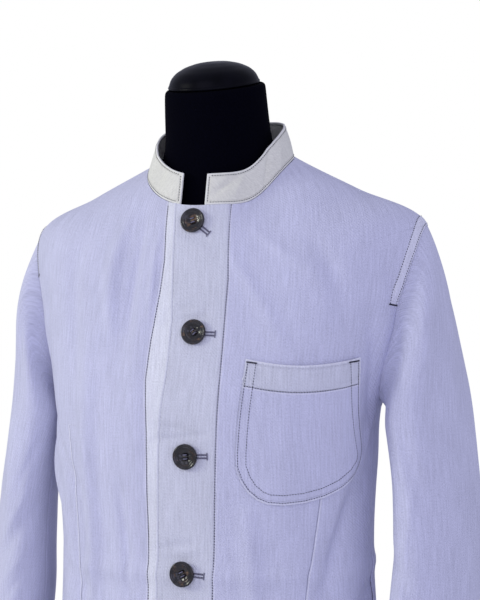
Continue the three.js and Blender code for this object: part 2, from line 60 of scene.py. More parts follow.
ringColumns = ("frontZ", "sideZ", "backZ", "half", "front", "back", "middle", "shiftX", "power", "edgeX", "sag")
bodyRings = [dict(zip(ringColumns, row)) for row in (
    (-42, 8, 20, 79, 80, 66, -2, 0, 2, -22, 12),
    (-104, -23, -50, 147, 102, 89, 6, 0, 1.9, -19, 4),
    (-172, -61, -128, 219.5, 128, 94, 18, -1, 1.7, -16, 0),
    (-212, -150, -192, 206, 132, 107, 15, -4, 1.95, -18, 0),
    (-258, -240, -252, 179, 130, 110, 8, -7.5, 2.3, -23, 0),
    (-318, -308, -318, 173.5, 126, 106, 5, -7.5, 2.4, -25, 0),
    (-405, -400, -404, 168.5, 119, 98, 2, -5.5, 2.4, -27, 0),
    (-536, -533, -537, 174.5, 125, 113, 0, -3.5, 2.3, -28, 0),
    (-678, -675, -682, 183, 131, 123, 0, -3.5, 2.3, -28, 0),
)]
collarTop = dict(zip(ringColumns, (-9, 41, 57, 69, 72, 59, -2, 0, 2, 0, 10)))
collarbone = {"angle": 43, "spread": 22}

# Soft folds: angle round the body from the centre front, height, the same at the far end, width, depth
bodyFolds = [
    (-38, -62, -29, -190, 13, -3.5), (-24, -110, -17, -330, 12, 2), (-43, -235, -37, -470, 15, -4),
    (-53, -300, -52, -640, 14, 3), (66, -140, 80, -262, 15, -3), (86, -285, 61, -430, 15, -4),
    (45, -470, 41, -675, 16, 3), (122, -130, 112, -270, 14, -4), (-120, -140, -110, -290, 14, -4.5),
    (150, -330, 128, -420, 14, -3.5), (-158, -300, -126, -400, 13, -4), (160, -440, 156, -680, 20, 4),
    (-148, -430, -150, -680, 18, 3.5),
]
bodyCreases = [
    # wearer's right front
    (-46, -60, -35, -165, 7, 1.6), (-34, -62, -27, -165, 6, -1.6), (-24, -60, -18, -150, 5, 1.1),
    (-41, -225, -45, -440, 9, 2.2), (-44, -180, -45, -300, 9, 1.2), (-58, -86, -50, -205, 8, -1.3),
    (-77, -244, -48, -330, 6, -1.4), (-84, -268, -56, -372, 6, 1.2), (-66, -400, -45, -440, 7, -1.2),
    (-85, -455, -62, -500, 7, -1.1), (-56, -330, -58, -560, 9, 1.5), (-46, -350, -50, -600, 6, -1.3),
    (-32, -480, -35, -640, 8, 1), (-70, -120, -74, -225, 6, -1.1), (-27, -330, -25, -430, 6, -0.9),
    # placket: drag lines between the buttons
    (-11, -69, 11, -80, 3, -1.2), (-12, -76, 9, -87, 4, 0.7), (-9, -150, 3, -147, 3.5, -0.8),
    (-10, -160, 9, -155, 4, -0.9), (-7, -262, 7, -268, 4, -0.9), (-8, -277, 15, -271, 3.5, -0.8),
    (-9, -386, 8, -380, 4, -0.9), (-8, -396, 13, -391, 3.5, -0.7), (-9, -500, 10, -506, 4, -0.9),
    (-10, -586, 10, -592, 5, 0.7),
    # wearer's left front
    (79, -290, 61, -428, 6.5, -2), (70, -150, 82, -250, 6, -1.3), (56, -84, 61, -150, 7, -1),
    (24, -88, 41, -176, 8, 0.8), (33, -352, 36, -470, 9, 1.1), (86, -256, 74, -330, 6, 1.2),
    (63, -470, 88, -430, 7, -1.2), (59, -520, 82, -500, 7, 0.9), (25, -520, 28, -640, 8, -0.9),
    (51, -560, 48, -670, 7, -1), (72, -96, 80, -150, 5, -0.8), (36, -60, 50, -104, 7, 0.7),
    # back
    (168, -40, 158, -190, 9, -1.2), (-166, -44, -160, -170, 8, -1), (128, -120, 146, -250, 7, -1.4),
    (-132, -128, -148, -262, 7, -1.5), (116, -160, 120, -280, 6, 1), (-114, -150, -118, -270, 6, -1.1),
    (104, -250, 132, -330, 6, -1.3), (-102, -246, -130, -320, 6, -1.2), (140, -384, 178, -398, 7, -1.3),
    (-142, -372, -176, -392, 7, 1.1), (132, -408, -172, -416, 8, 1), (172, -250, 166, -350, 9, -1),
    (-170, -470, -168, -650, 9, -1.1), (138, -480, 134, -640, 8, -1), (-128, -470, -124, -620, 8, 1),
    (108, -470, 104, -600, 6, -0.9),
]

ovalColumns = ("z", "x", "y", "long", "short", "turn")
sleeveOvals = [dict(zip(ovalColumns, row)) for row in (
    (-268, 223, 12, 67, 33, 20), (-330, 231.5, 7, 69, 31, 20), (-400, 234, 0, 72, 32.5, 19),
    (-470, 232, -12, 73, 34, 18), (-560, 234, -30, 67, 30.5, 17), (-672, 236, -54, 62, 30, 16),
)]
sleeveFolds = {
    "left": [
        (60, -110, 48, -215, 11, 3), (96, -210, 60, -330, 12, -3), (118, -395, 50, -440, 12, -3),
        (250, -380, 300, -450, 13, -3),
        (88, -84, 84, -160, 6, -1.2), (74, -96, 66, -180, 6, 0.9), (40, -150, 34, -262, 8, -1),
        (112, -250, 84, -360, 6, -1.1), (70, -330, 96, -420, 6, 1.1), (104, -416, 40, -470, 5, 1.2),
        (116, -440, 66, -492, 5, -1.3), (100, -520, 60, -600, 8, -1), (20, -300, 30, -420, 9, 0.8),
        (-20, -140, -10, -260, 8, -1), (-60, -180, -40, -300, 8, 1), (-96, -392, -44, -446, 6, -1.3),
        (-100, -420, -60, -500, 7, 1), (140, -300, 165, -400, 7, -0.9), (210, -440, 238, -540, 8, -0.9),
        (-110, -560, -60, -620, 7, -0.9), (10, -520, 24, -640, 9, -0.9),
    ],
    "right": [
        (76, -130, 52, -250, 12, -3), (40, -240, 66, -370, 12, 3), (112, -370, 44, -425, 11, -3.5),
        (256, -400, 306, -455, 12, -3),
        (92, -96, 86, -190, 6, -1.1), (58, -100, 50, -190, 7, 0.9), (30, -180, 22, -300, 8, -0.9),
        (110, -290, 76, -350, 6, -1.1), (96, -350, 60, -398, 5, 1.2), (114, -404, 52, -452, 5, 1.1),
        (108, -430, 48, -476, 5, -1.4), (86, -500, 70, -610, 8, 1), (14, -360, 6, -470, 9, -0.9),
        (-24, -120, -14, -250, 8, 0.9), (-56, -200, -34, -310, 8, -1.1), (-92, -404, -38, -462, 6, -1.2),
        (-104, -440, -70, -520, 7, 0.9), (150, -280, 172, -390, 7, 0.9), (204, -430, 232, -520, 8, -1),
        (-104, -580, -50, -628, 7, -0.8), (0, -540, 12, -650, 9, 0.9),
    ],
}
collarDents = [
    (17, 14, 30, 27, 3.5, -2.4), (30, 10, 38, 26, 3.5, 1.3), (56, 6, 64, 28, 3.5, -2.4), (72, 8, 80, 28, 4, 1.2),
    (-42, 8, -34, 26, 4, -2), (-60, 8, -54, 28, 4, 1.2), (100, 8, 112, 28, 6, 0.9), (160, 10, 150, 30, 6, -0.9),
    (-110, 8, -98, 28, 6, -1), (-150, 8, -160, 26, 6, 0.7),
]
# How the sleeve cap leaves the armhole on each of its four sides
capRuns = {
    "top": (0.42, -0.02, -0.85), "front": (0.62, -0.5, -0.6),
    "under": (0.55, 0, -0.83), "back": (0.62, 0.45, -0.64),
}


def smoothStep(start, end, value):
    share = np.clip((value - start) / (end - start), 0, 1)
    return share * share * (3 - 2 * share)


def mix(start, end, share):
    return start + (end - start) * share


def rowAt(rows, level):
    # a smooth course through a table, each named column by itself
    level = np.asarray(level, float)
    last = len(rows) - 1
    index = np.clip(np.floor(level), 0, last - 1).astype(int)
    share = level - index
    squared, cubed = share ** 2, share ** 3
    row = {}
    for key in rows[0]:
        column = np.array([r[key] for r in rows], float)
        start, end = column[index], column[index + 1]
        before, after = column[np.maximum(index - 1, 0)], column[np.minimum(index + 2, last)]
        row[key] = ((2 * cubed - 3 * squared + 1) * start + (cubed - 2 * squared + share) * (end - before) / 2
                    + (3 * squared - 2 * cubed) * end + (cubed - squared) * (after - start) / 2)
    return row


def unit(vectors):
    return vectors / np.maximum(np.linalg.norm(vectors, axis=-1, keepdims=True), 1e-9)


def ringPoint(ring, angle):
    turn = np.radians(angle)
    side, rear = np.sin(turn), -np.cos(turn)
    depth = np.where(rear < 0, ring["front"], ring["back"])
    total = (np.abs(side) / ring["half"]) ** ring["power"] + (np.abs(rear) / depth) ** ring["power"]
    radius = total ** (-1 / ring["power"])
    z = (ring["sideZ"] + rear * (ring["backZ"] - ring["frontZ"]) / 2
         + rear ** 2 * ((ring["frontZ"] + ring["backZ"]) / 2 - ring["sideZ"]))
    away = ((angle - collarbone["angle"] + 540) % 360 - 180) / collarbone["spread"]
    z = z - ring["sag"] * np.exp(-away ** 2)
    return np.stack([ring["shiftX"] + radius * side, ring["middle"] + radius * rear, z + shoulderHeight], -1)


def foldDepth(folds, arcScale, angle, z):
    # how far all the folds together move each place of the chart of arc length and height
    total = np.zeros_like(z)
    for foldAngle, foldZ, toAngle, toZ, width, depth in folds:
        alongArc, alongZ = (toAngle - foldAngle) * arcScale, toZ - foldZ
        length = math.hypot(alongArc, alongZ)
        awayArc = ((angle - foldAngle + 180) % 360 - 180) * arcScale
        awayZ = z - foldZ
        along = (awayArc * alongArc + awayZ * alongZ) / length ** 2
        across = (awayArc * alongZ - awayZ * alongArc) / length
        reach = np.maximum(0, np.maximum(-along, along - 1)) * length
        fade = np.exp(-(reach / width / 1.6) ** 2)
        swell = 0.55 + 0.45 * np.sin(math.pi * np.clip(along, 0, 1))
        total += depth * swell * fade * np.exp(-(across / width) ** 2)
    return total


def unevenness(arc, z):
    # slight waviness of laid cloth
    slow = np.sin(arc / 23 + 1.3 * np.sin(z / 41)) * np.sin(z / 37 + 0.9 * np.sin(arc / 29))
    quick = np.sin(arc / 9.5 + 0.8 * np.sin(z / 17) + 1) * np.sin(z / 13 + 1.1 * np.sin(arc / 15))
    return 0.3 * slow + 0.1 * quick


def bodyForm(angle, level):
    return ringPoint(rowAt(bodyRings, level), angle)


def outward(surface, across, along):
    step = 0.01
    acrossStep = surface(across + 1, along) - surface(across - 1, along)
    alongStep = surface(across, along + step) - surface(across, np.maximum(along - step, 0))
    return unit(np.cross(alongStep, acrossStep))


def bodyPoint(angle, level, out=0):
    angle, level = np.broadcast_arrays(np.asarray(angle, float), np.asarray(level, float))
    point = bodyForm(angle, level)
    z = point[..., 2] - shoulderHeight
    depth = foldDepth(bodyFolds, arcPerDegree, angle, z)
    fine = creaseGain * foldDepth(bodyCreases, arcPerDegree, angle, z) + unevenness(angle * arcPerDegree, z)
    # neither reaches the neckline, where the collar is sewn on
    move = depth * smoothStep(0, 0.5, level) + fine * smoothStep(0, 1.6, level) + out
    return point + outward(bodyForm, angle, level) * move[..., None]


def leftFrontLift(x):
    return frontLift * (1 - smoothStep(liftInnerX, liftOuterX, x))


def leftFrontPoint(angle, level, out=0):
    return bodyPoint(angle, level, leftFrontLift(bodyForm(angle, level)[..., 0]) + out)


def frontPoint(word, angle, level, out):
    return leftFrontPoint(angle, level, out) if word == "left" else bodyPoint(angle, level, out)


def armholeShare(level):
    return np.sqrt(1 - np.minimum(np.abs(level - 3), 1) ** 2)


def halfSeamAngle(level):
    return np.degrees(seamGap / 2 / rowAt(bodyRings, level)["half"])


def frontSeamAngle(level):
    return 90 - armholeFront * armholeShare(level) - halfSeamAngle(level)


def backSeamAngle(level):
    return 90 + armholeBack * armholeShare(level) + halfSeamAngle(level)


def angleAtX(x, level):
    ring = rowAt(bodyRings, level)
    return np.degrees(np.arcsin((x - ring["shiftX"]) / ring["front"]))


def levelAtHeight(angle, z):
    low, high = np.zeros_like(z), np.full_like(z, 8.0)
    for step in range(24):
        level = (low + high) / 2
        above = bodyForm(angle, level)[..., 2] - shoulderHeight > z
        low, high = np.where(above, level, low), np.where(above, high, level)
    return (low + high) / 2


def findOnFront(x, z):
    # angle and level of a place on the front given by its x and height
    x, z = np.asarray(x, float), np.asarray(z, float)
    angle = np.degrees(np.arcsin(np.clip(x / bodyReach, -0.95, 0.95)))
    for step in range(8):
        level = levelAtHeight(angle, z)
        here = bodyForm(angle, level)[..., 0]
        slope = (bodyForm(angle + 0.5, level)[..., 0] - here) / 0.5
        angle = angle + (x - here) / np.maximum(slope, 0.4)
    return angle, levelAtHeight(angle, z)


# Rows of the body's panels above, round and below the armhole
panelRows = {"above": 5, "round": 12, "below": 11}


def panelLevel(share):
    # levels of a body panel's rows, close together round the armhole
    above, beside, below = panelRows.values()
    row = share * (above + beside + below)
    alongArmhole = 3 - np.cos(math.pi * np.clip((row - above) / beside, 0, 1))
    lower = 4 + 4 * (row - above - beside) / below
    return np.where(row < above, 2 * row / above, np.where(row < above + beside, alongArmhole, lower))


def collarPoint(angle, height):
    overLeftFront = (angle > 0) & (angle < 90)
    lift = np.where(overLeftFront, leftFrontLift(bodyForm(angle, np.zeros_like(angle))[..., 0]), 0)
    top = ringPoint(collarTop, angle)
    rear = unit(top * np.array([1, 1, 0]))
    base = bodyPoint(angle, np.zeros_like(angle), lift)
    place = mix(base, top + rear * lift[..., None], height[..., None])
    return place + rear * foldDepth(collarDents, collarArcPerDegree, angle, height * collarHeight)[..., None]


def collarEndAngle(x, height):
    return np.degrees(np.arcsin(x / mix(bodyRings[0]["front"], collarTop["front"], height)))


def armholeChart(turn, side):
    # angle and level round the armhole, from its top over the front
    half = np.where(np.sin(turn) > 0, armholeFront, armholeBack)
    return side * (90 - half * np.sin(turn)), 3 - np.cos(turn)


def armholePoint(turn, side):
    return bodyPoint(*armholeChart(turn, side)) * np.array([side, 1, 1])


def ovalPoint(oval, turn):
    lean = np.radians(oval["turn"])
    outwardReach, forwardReach = oval["short"] * np.cos(turn), oval["long"] * np.sin(turn)
    return np.stack([
        oval["x"] + outwardReach * np.cos(lean) - forwardReach * np.sin(lean),
        oval["y"] - outwardReach * np.sin(lean) - forwardReach * np.cos(lean),
        oval["z"] + shoulderHeight + 0 * turn,
    ], -1)


def capRun(turn):
    shares = {"top": np.cos(turn), "under": -np.cos(turn), "front": np.sin(turn), "back": -np.sin(turn)}
    return unit(sum(np.maximum(shares[k], 0)[..., None] ** 2 * np.array(capRuns[k]) for k in shares))


def sleeveForm(angle, level, side):
    turn = np.radians(angle)
    lower = ovalPoint(rowAt(sleeveOvals, np.maximum(level - 1, 0)), turn)
    start = armholePoint(turn, side)
    end = ovalPoint(sleeveOvals[0], turn)
    chord = np.linalg.norm(start - end, axis=-1)[..., None]
    leave = capRun(turn) * chord
    arrive = unit(ovalPoint(sleeveOvals[1], turn) - end) * chord
    along = np.clip(level, 0, 1)[..., None]
    squared, cubed = along ** 2, along ** 3
    cap = ((start + capRun(turn) * seamGap * (1 - along)) * (2 * cubed - 3 * squared + 1)
           + end * (3 * squared - 2 * cubed) + leave * (cubed - 2 * squared + along) + arrive * (cubed - squared))
    return np.where(level[..., None] > 1, lower, cap)


def sleevePoint(side, angle, level, out=0):
    # worked out on the wearer's left and mirrored for the other side
    angle, level = np.broadcast_arrays(np.asarray(angle, float), np.asarray(level, float))
    point = sleeveForm(angle, level, side)
    own = -outward(lambda across, along: sleeveForm(across, along, side), angle, level)
    centre = (armholePoint(np.zeros(1), side) + armholePoint(np.full(1, math.pi), side)) / 2
    radial = unit((armholePoint(np.radians(angle), side) - centre) * np.array([0, 1, 1]))
    share = smoothStep(0, 0.4, level)[..., None]
    normal = unit(radial * (1 - share) + own * share)
    z = point[..., 2] - shoulderHeight
    arc = angle * sleeveArcPerDegree
    depth = foldDepth(sleeveFolds["left" if side > 0 else "right"], sleeveArcPerDegree, angle, z)
    depth = depth + unevenness(arc + 40 * side, z + 60 * side)
    # small gathers where the cap's fullness is eased into the armhole
    onTop = np.clip(np.cos(np.radians(angle)), 0, 1)
    ease = 0.5 * np.sin(angle / 6.5) * np.exp(-((level - 0.1) / 0.1) ** 2) * onTop
    move = depth * smoothStep(0.05, 0.5, level) + ease + out
    return (point + normal * move[..., None]) * np.array([side, 1, 1])


# Sewing lines in x and height that the fronts' surfaces and their stitches share
facingLine = {
    "left": ([-700, -428, -295, -187, -118, -49, -30], [33, 33, 37, 41, 42, 37, 36]),
    "right": ([-700, -434, -268, -218, -178, -128, -97, -64, -30], [-36, -36, -36, -39, -36, -30, -28, -30, -31]),
}
dartLine = {
    "left": ([-600, -500, -430, -385, -330], [119, 117, 120, 126, 133]),
    "right": ([-600, -520, -446, -367, -325, -268], [-119, -117, -120, -124, -127, -137]),
}


def addNode(tree, kind, place, values=None, **settings):
    # a node at its place in the layout; values are numbers or sockets to link from
    node = tree.nodes.new("ShaderNode" + kind)
    node.location = place
    for key, value in settings.items():
        setattr(node, key, value)
    for key, value in (values or {}).items():
        if isinstance(value, bpy.types.NodeSocket):
            tree.links.new(value, node.inputs[key])
        else:
            node.inputs[key].default_value = value
    return node


def ramp(tree, x, y, value, fromLow, fromHigh, toLow=0.0, toHigh=1.0):
    values = {"Value": value, "From Min": fromLow, "From Max": fromHigh, "To Min": toLow, "To Max": toHigh}
    return addNode(tree, "MapRange", (x, y), values, interpolation_type="SMOOTHSTEP").outputs[0]


def maths(tree, x, y, operation, *values):
    return addNode(tree, "Math", (x, y), dict(enumerate(values)), operation=operation).outputs[0]


def newGroup(name, inputs, outputs):
    group = bpy.data.node_groups.new(name, "ShaderNodeTree")
    for label, kind, value in inputs:
        socket = group.interface.new_socket(name=label, in_out="INPUT", socket_type=kind)
        if value is not None:
            socket.default_value = value
    for label in outputs:
        group.interface.new_socket(name=label, in_out="OUTPUT", socket_type="NodeSocketFloat")
    entry, leave = group.nodes.new("NodeGroupInput"), group.nodes.new("NodeGroupOutput")
    entry.location, leave.location = (-900, 0), (900, 0)
    return group, entry, leave


# Scale of the yarns across and along them, and how much each part changes the shade and the height
weaveLook = {
    "slub": (560, 34, 1), "weft": (60, 560, 1), "cloud": (22, 11, 1), "grain": (760, 620, 1), "twill": 190,
    "weftShare": 0.18, "streakShade": 0.42, "grainShade": 0.42, "cloudShade": 0.2, "twillShade": 0.02,
    "twillHeight": 0.4, "grainHeight": 1.6, "roughness": (0.12, 0.82),
}


def makeWeave():
    # twill lines, uneven yarns along the warp and a slow change of shade; Vector is in metres of cloth
    group, entry, leave = newGroup("twillWeave", [
        ("Vector", "NodeSocketVector", None), ("Yarn", "NodeSocketFloat", 1.0), ("Mottle", "NodeSocketFloat", 1.0),
    ], ("Shade", "Height", "Roughness"))
    vector = entry.outputs["Vector"]

    def noiseOf(y, key, detail):
        mapping = addNode(group, "Mapping", (-700, y), {"Scale": weaveLook[key], "Vector": vector})
        values = {"Scale": 1, "Detail": detail, "Vector": mapping.outputs[0]}
        return addNode(group, "TexNoise", (-500, y), values).outputs["Fac"]

    slub, weft = noiseOf(400, "slub", 3), noiseOf(150, "weft", 2)
    cloud, grain = noiseOf(-100, "cloud", 3), noiseOf(-350, "grain", 4)
    values = {"Scale": weaveLook["twill"], "Distortion": 1.2, "Detail": 1, "Detail Scale": 2, "Vector": vector}
    wave = addNode(group, "TexWave", (-500, -600), values, wave_type="BANDS", bands_direction="DIAGONAL")
    yarn, cross, fine, slow, twill = (
        maths(group, -200, 400 - 200 * row, "SUBTRACT", source, 0.5)
        for row, source in enumerate((slub, weft, grain, cloud, wave.outputs["Fac"])))
    streaks = maths(group, 0, 400, "MULTIPLY_ADD", cross, weaveLook["weftShare"], yarn)
    streaks = maths(group, 150, 400, "MULTIPLY", streaks, entry.outputs["Yarn"])
    shade = maths(group, 300, 400, "MULTIPLY_ADD", streaks, weaveLook["streakShade"], 1.0)
    shade = maths(group, 450, 400, "MULTIPLY_ADD", fine, weaveLook["grainShade"], shade)
    clouds = maths(group, 300, 200, "MULTIPLY", slow, entry.outputs["Mottle"])
    shade = maths(group, 600, 300, "MULTIPLY_ADD", clouds, weaveLook["cloudShade"], shade)
    shade = maths(group, 700, 300, "MULTIPLY_ADD", twill, weaveLook["twillShade"], shade)
    height = maths(group, 300, -200, "MULTIPLY_ADD", twill, weaveLook["twillHeight"], streaks)
    height = maths(group, 450, -200, "MULTIPLY_ADD", fine, weaveLook["grainHeight"], height)
    rough = maths(group, 450, -400, "MULTIPLY_ADD", slub, *weaveLook["roughness"])
    for key, value in (("Shade", shade), ("Height", height), ("Roughness", rough)):
        group.links.new(value, leave.inputs[key])
    return group


def makeSeams():
    # marks along sewn lines: painted highlights beside the stitches, along the dart, at finished edges and over the
    # armhole's strip, painted shade in the dart's cut, and the doubled cloth; the inputs are distances in
    # millimetres, Strip a share of its reach
    group, entry, leave = newGroup("sewnLines", [
        (label, "NodeSocketFloat", farOff) for label in ("Facing", "Dart", "Edge", "Strip")
    ], ("Groove", "Pale", "Doubled", "PaintedDartShade"))

    def band(y, source, centre, width):
        away = maths(group, -600, y, "SUBTRACT", source, centre)
        away = maths(group, -450, y, "ABSOLUTE", away)
        return ramp(group, -300, y, away, 0.0, width, 1.0, 0.0)

    facing, dart, edge, strip = (entry.outputs[k] for k in ("Facing", "Dart", "Edge", "Strip"))
    stitched = band(500, facing, 0.0, 1.0)
    # painted highlight on the ridge just beside the facing's stitches
    paleHighlight = band(350, facing, 1.5, 0.9)
    # the dart's cut: a groove in the bump and painted shade in the colour
    dartCut = band(200, dart, -0.6, 0.65)
    # painted highlight along the dart's ridge
    dartRidge = band(50, dart, 0.6, 1.1)
    edgeChannel = band(-100, edge, 3.4, 1.0)
    # painted highlight along the finished edges
    edgePale = ramp(group, -300, -250, edge, 0.6, 1.9, 1.0, 0.0)
    doubled = ramp(group, -300, -400, facing, -0.5, 0.7, 1.0, 0.0)
    # painted highlight over the raised strip along the armhole
    stripPale = ramp(group, -300, -550, strip, 0.9, 1.12, 1.0, 0.0)
    groove = maths(group, 0, 400, "MAXIMUM", stitched, maths(group, -100, 250, "MAXIMUM", dartCut, edgeChannel))
    pale = maths(group, 0, 100, "MAXIMUM", paleHighlight, maths(group, -100, 0, "MAXIMUM", dartRidge, edgePale))
    pale = maths(group, 100, 50, "MAXIMUM", pale, stripPale)
    for key, value in (("Groove", groove), ("Pale", pale), ("Doubled", doubled), ("PaintedDartShade", dartCut)):
        group.links.new(value, leave.inputs[key])
    return group


weaveGroup = makeWeave()
seamGroup = makeSeams()


def startMaterial(name):
    material = bpy.data.materials.new(name)
    material.use_nodes = True
    tree = material.node_tree
    return material, tree, tree.nodes["Principled BSDF"]


def mixColour(tree, x, y, blend, factor, first, second):
    values = {"Factor": factor, "A": first, "B": second}
    values = {key: (*value, 1) if isinstance(value, tuple) else value for key, value in values.items()}
    return addNode(tree, "Mix", (x, y), values, data_type="RGBA", blend_type=blend).outputs["Result"]


# How strongly the sewn lines' painted highlights and the dart's painted shade show, and the heights of both bumps
# in metres
seamLook = {
    "pale": 0.6, "dartShade": 0.7, "dartShadeColour": (0.5, 0.5, 0.56),
    "bump": 0.8, "weaveHeight": 0.0005, "grooveDepth": 0.0006,
}


def makeDenim(name, look):
    material, tree, shader = startMaterial(name)
    uv = addNode(tree, "UVMap", (-1400, 200), uv_map="cloth")
    weave = addNode(tree, "Group", (-1150, 200), {
        "Vector": uv.outputs[0], "Yarn": look["yarn"], "Mottle": look["mottle"]}, node_tree=weaveGroup)
    seams = addNode(tree, "Group", (-1150, -200), node_tree=seamGroup)
    for row, key in enumerate(("facing", "dart", "edge", "strip")):
        attribute = addNode(tree, "Attribute", (-1400, -100 - 180 * row), attribute_name=key)
        tree.links.new(attribute.outputs["Fac"], seams.inputs[key.capitalize()])
    colour = mixColour(tree, -850, 200, "MIX", seams.outputs["Doubled"], look["single"], look["doubled"])
    # pale marks: painted highlights along ridges, the dart, the edges and the armhole's strip
    pale = maths(tree, -850, 0, "MULTIPLY", seams.outputs["Pale"], seamLook["pale"])
    colour = mixColour(tree, -650, 200, "MIX", pale, colour, look["paleHighlight"])
    # painted shade darkening the dart's cut
    dartShade = maths(tree, -650, 0, "MULTIPLY", seams.outputs["PaintedDartShade"], seamLook["dartShade"])
    colour = mixColour(tree, -450, 200, "MULTIPLY", dartShade, colour, seamLook["dartShadeColour"])
    shades = addNode(tree, "CombineColor", (-650, 420), dict.fromkeys(range(3), weave.outputs["Shade"]))
    colour = mixColour(tree, -250, 200, "MULTIPLY", 1.0, colour, shades.outputs[0])
    weaveBump = addNode(tree, "Bump", (-450, -300), {
        "Strength": seamLook["bump"], "Distance": seamLook["weaveHeight"], "Height": weave.outputs["Height"]})
    seamBump = addNode(tree, "Bump", (-250, -300), {
        "Strength": seamLook["bump"], "Distance": seamLook["grooveDepth"], "Height": seams.outputs["Groove"],
        "Normal": weaveBump.outputs[0]}, invert=True)
    for key, value in (("Base Color", colour), ("Roughness", weave.outputs["Roughness"]),
                       ("Normal", seamBump.outputs[0])):
        tree.links.new(value, shader.inputs[key])
    for key, value in (("Sheen Weight", 0.12), ("Sheen Roughness", 0.4), ("Specular IOR Level", 0.25)):
        shader.inputs[key].default_value = value
    return material


# the third colour is that of the painted highlights along ridges and edges
denimLook = {
    "single": (0.645, 0.65, 0.79), "doubled": (0.68, 0.69, 0.76), "paleHighlight": (0.9, 0.9, 0.95),
    "yarn": 1.0, "mottle": 1.0,
}
# a lit copy of the denim for the wearer's right front: its doubled facing is painted whiter, a painted highlight of
# the key light from that side
litFacingLook = {**denimLook, "doubled": (0.82, 0.83, 0.87)}
# a lighter copy of the denim for the collar: whiter where its cloth is doubled, and its cream tint is painted warm
# light
collarLook = {
    "single": (0.82, 0.81, 0.7), "doubled": (0.82, 0.81, 0.7), "paleHighlight": (0.95, 0.95, 0.9),
    "yarn": 0.5, "mottle": 1.4,
}
denim = makeDenim("whiteDenim", denimLook)
litFacingDenim = makeDenim("litFacingDenim", litFacingLook)
collarDenim = makeDenim("collarDenim", collarLook)


def makeObjectMaterial(name, look):
    # colour and bump from noise on the piece's own place
    material, tree, shader = startMaterial(name)
    coordinates = addNode(tree, "TexCoord", (-1100, 0))
    mapping = addNode(tree, "Mapping", (-900, 0), {
        "Scale": look["stretch"], "Vector": coordinates.outputs["Object"]}).outputs[0]
    noise = addNode(tree, "TexNoise", (-700, 100), {
        "Scale": look["scale"], "Detail": look["detail"], "Vector": mapping}).outputs["Fac"]
    colours = addNode(tree, "ValToRGB", (-450, 200), {"Fac": noise})
    stops = look["colours"]
    while len(colours.color_ramp.elements) < len(stops):
        colours.color_ramp.elements.new(0.5)
    for element, (place, colour) in zip(colours.color_ramp.elements, stops):
        element.position, element.color = place, (*colour, 1)
    rough = ramp(tree, -450, -100, noise, 0.3, 0.7, *look["roughness"])
    bumpNoise = addNode(tree, "TexNoise", (-700, -300), {"Scale": look["bumpScale"], "Vector": mapping})
    bump = addNode(tree, "Bump", (-250, -300), {
        "Strength": look["bump"], "Distance": look["bumpHeight"], "Height": bumpNoise.outputs["Fac"]})
    for key, value in (("Base Color", colours.outputs[0]), ("Roughness", rough), ("Normal", bump.outputs[0])):
        tree.links.new(value, shader.inputs[key])
    for key, word, usual in (("Metallic", "metallic", 0), ("Coat Weight", "coat", 0), ("Sheen Weight", "sheen", 0),
                             ("Coat Roughness", "coatRoughness", 0.1), ("Specular IOR Level", "specular", 0.5)):
        shader.inputs[key].default_value = look.get(word, usual)
    return material


hornLook = {
    "stretch": (1, 1, 1.4), "scale": 150, "detail": 5, "bumpScale": 900, "bump": 0.15, "bumpHeight": 0.0001,
    "colours": [(0.0, (0.002, 0.0016, 0.0016)), (0.53, (0.005, 0.0035, 0.003)), (0.62, (0.03, 0.015, 0.007)),
                (0.72, (0.16, 0.09, 0.04))],
    "roughness": (0.16, 0.3), "coat": 0.35, "coatRoughness": 0.1,
}
jerseyLook = {
    "stretch": (900, 900, 500), "scale": 1, "detail": 2, "bumpScale": 1, "bump": 0.6, "bumpHeight": 0.0004,
    "colours": [(0.3, (0.0006, 0.0006, 0.0022)), (0.7, (0.0016, 0.0016, 0.005))],
    "roughness": (0.9, 1.0), "specular": 0.03,
}
glossLook = {
    "stretch": (1, 1, 1), "scale": 60, "detail": 3, "bumpScale": 14, "bump": 0.04, "bumpHeight": 0.001,
    "colours": [(0.3, (0.0015, 0.0015, 0.003)), (0.7, (0.003, 0.003, 0.006))],
    "roughness": (0.3, 0.4), "specular": 0.06,
}
poleLook = {
    "stretch": (30, 30, 900), "scale": 1, "detail": 3, "bumpScale": 1, "bump": 0.2, "bumpHeight": 0.0002,
    "colours": [(0.3, (0.02, 0.02, 0.022)), (0.7, (0.045, 0.045, 0.05))],
    "roughness": (0.3, 0.42), "metallic": 0.9,
}
threadLook = {
    "stretch": (1, 1, 1), "scale": 2600, "detail": 2, "bumpScale": 5000, "bump": 0.5, "bumpHeight": 0.0001,
    "colours": [(0.3, (0.005, 0.005, 0.014)), (0.7, (0.014, 0.015, 0.035))],
    "roughness": (0.6, 0.8), "sheen": 0.05,
}
holeThreadLook = {
    "stretch": (1, 1, 1), "scale": 1800, "detail": 2, "bumpScale": 5000, "bump": 0.5, "bumpHeight": 0.0001,
    "colours": [(0.3, (0.1, 0.1, 0.14)), (0.7, (0.24, 0.23, 0.32))],
    "roughness": (0.6, 0.8), "sheen": 0.2,
}
# the side pockets' bag cloth: its dark olive tone is painted shade with warm reflected light, as seen in the
# pocket's gap
pocketingLook = {
    "stretch": (1, 1, 1), "scale": 1200, "detail": 3, "bumpScale": 2400, "bump": 0.4, "bumpHeight": 0.0002,
    "colours": [(0.3, (0.2, 0.2, 0.14)), (0.7, (0.34, 0.34, 0.24))],
    "roughness": (0.85, 0.95), "sheen": 0.1,
}
horn = makeObjectMaterial("horn", hornLook)
jersey = makeObjectMaterial("blackJersey", jerseyLook)
gloss = makeObjectMaterial("glossBlack", glossLook)
poleMetal = makeObjectMaterial("darkMetal", poleLook)
thread = makeObjectMaterial("navyThread", threadLook)
holeThread = makeObjectMaterial("greyButtonholeThread", holeThreadLook)
pocketing = makeObjectMaterial("bagClothPaintedShade", pocketingLook)
print("materials made")


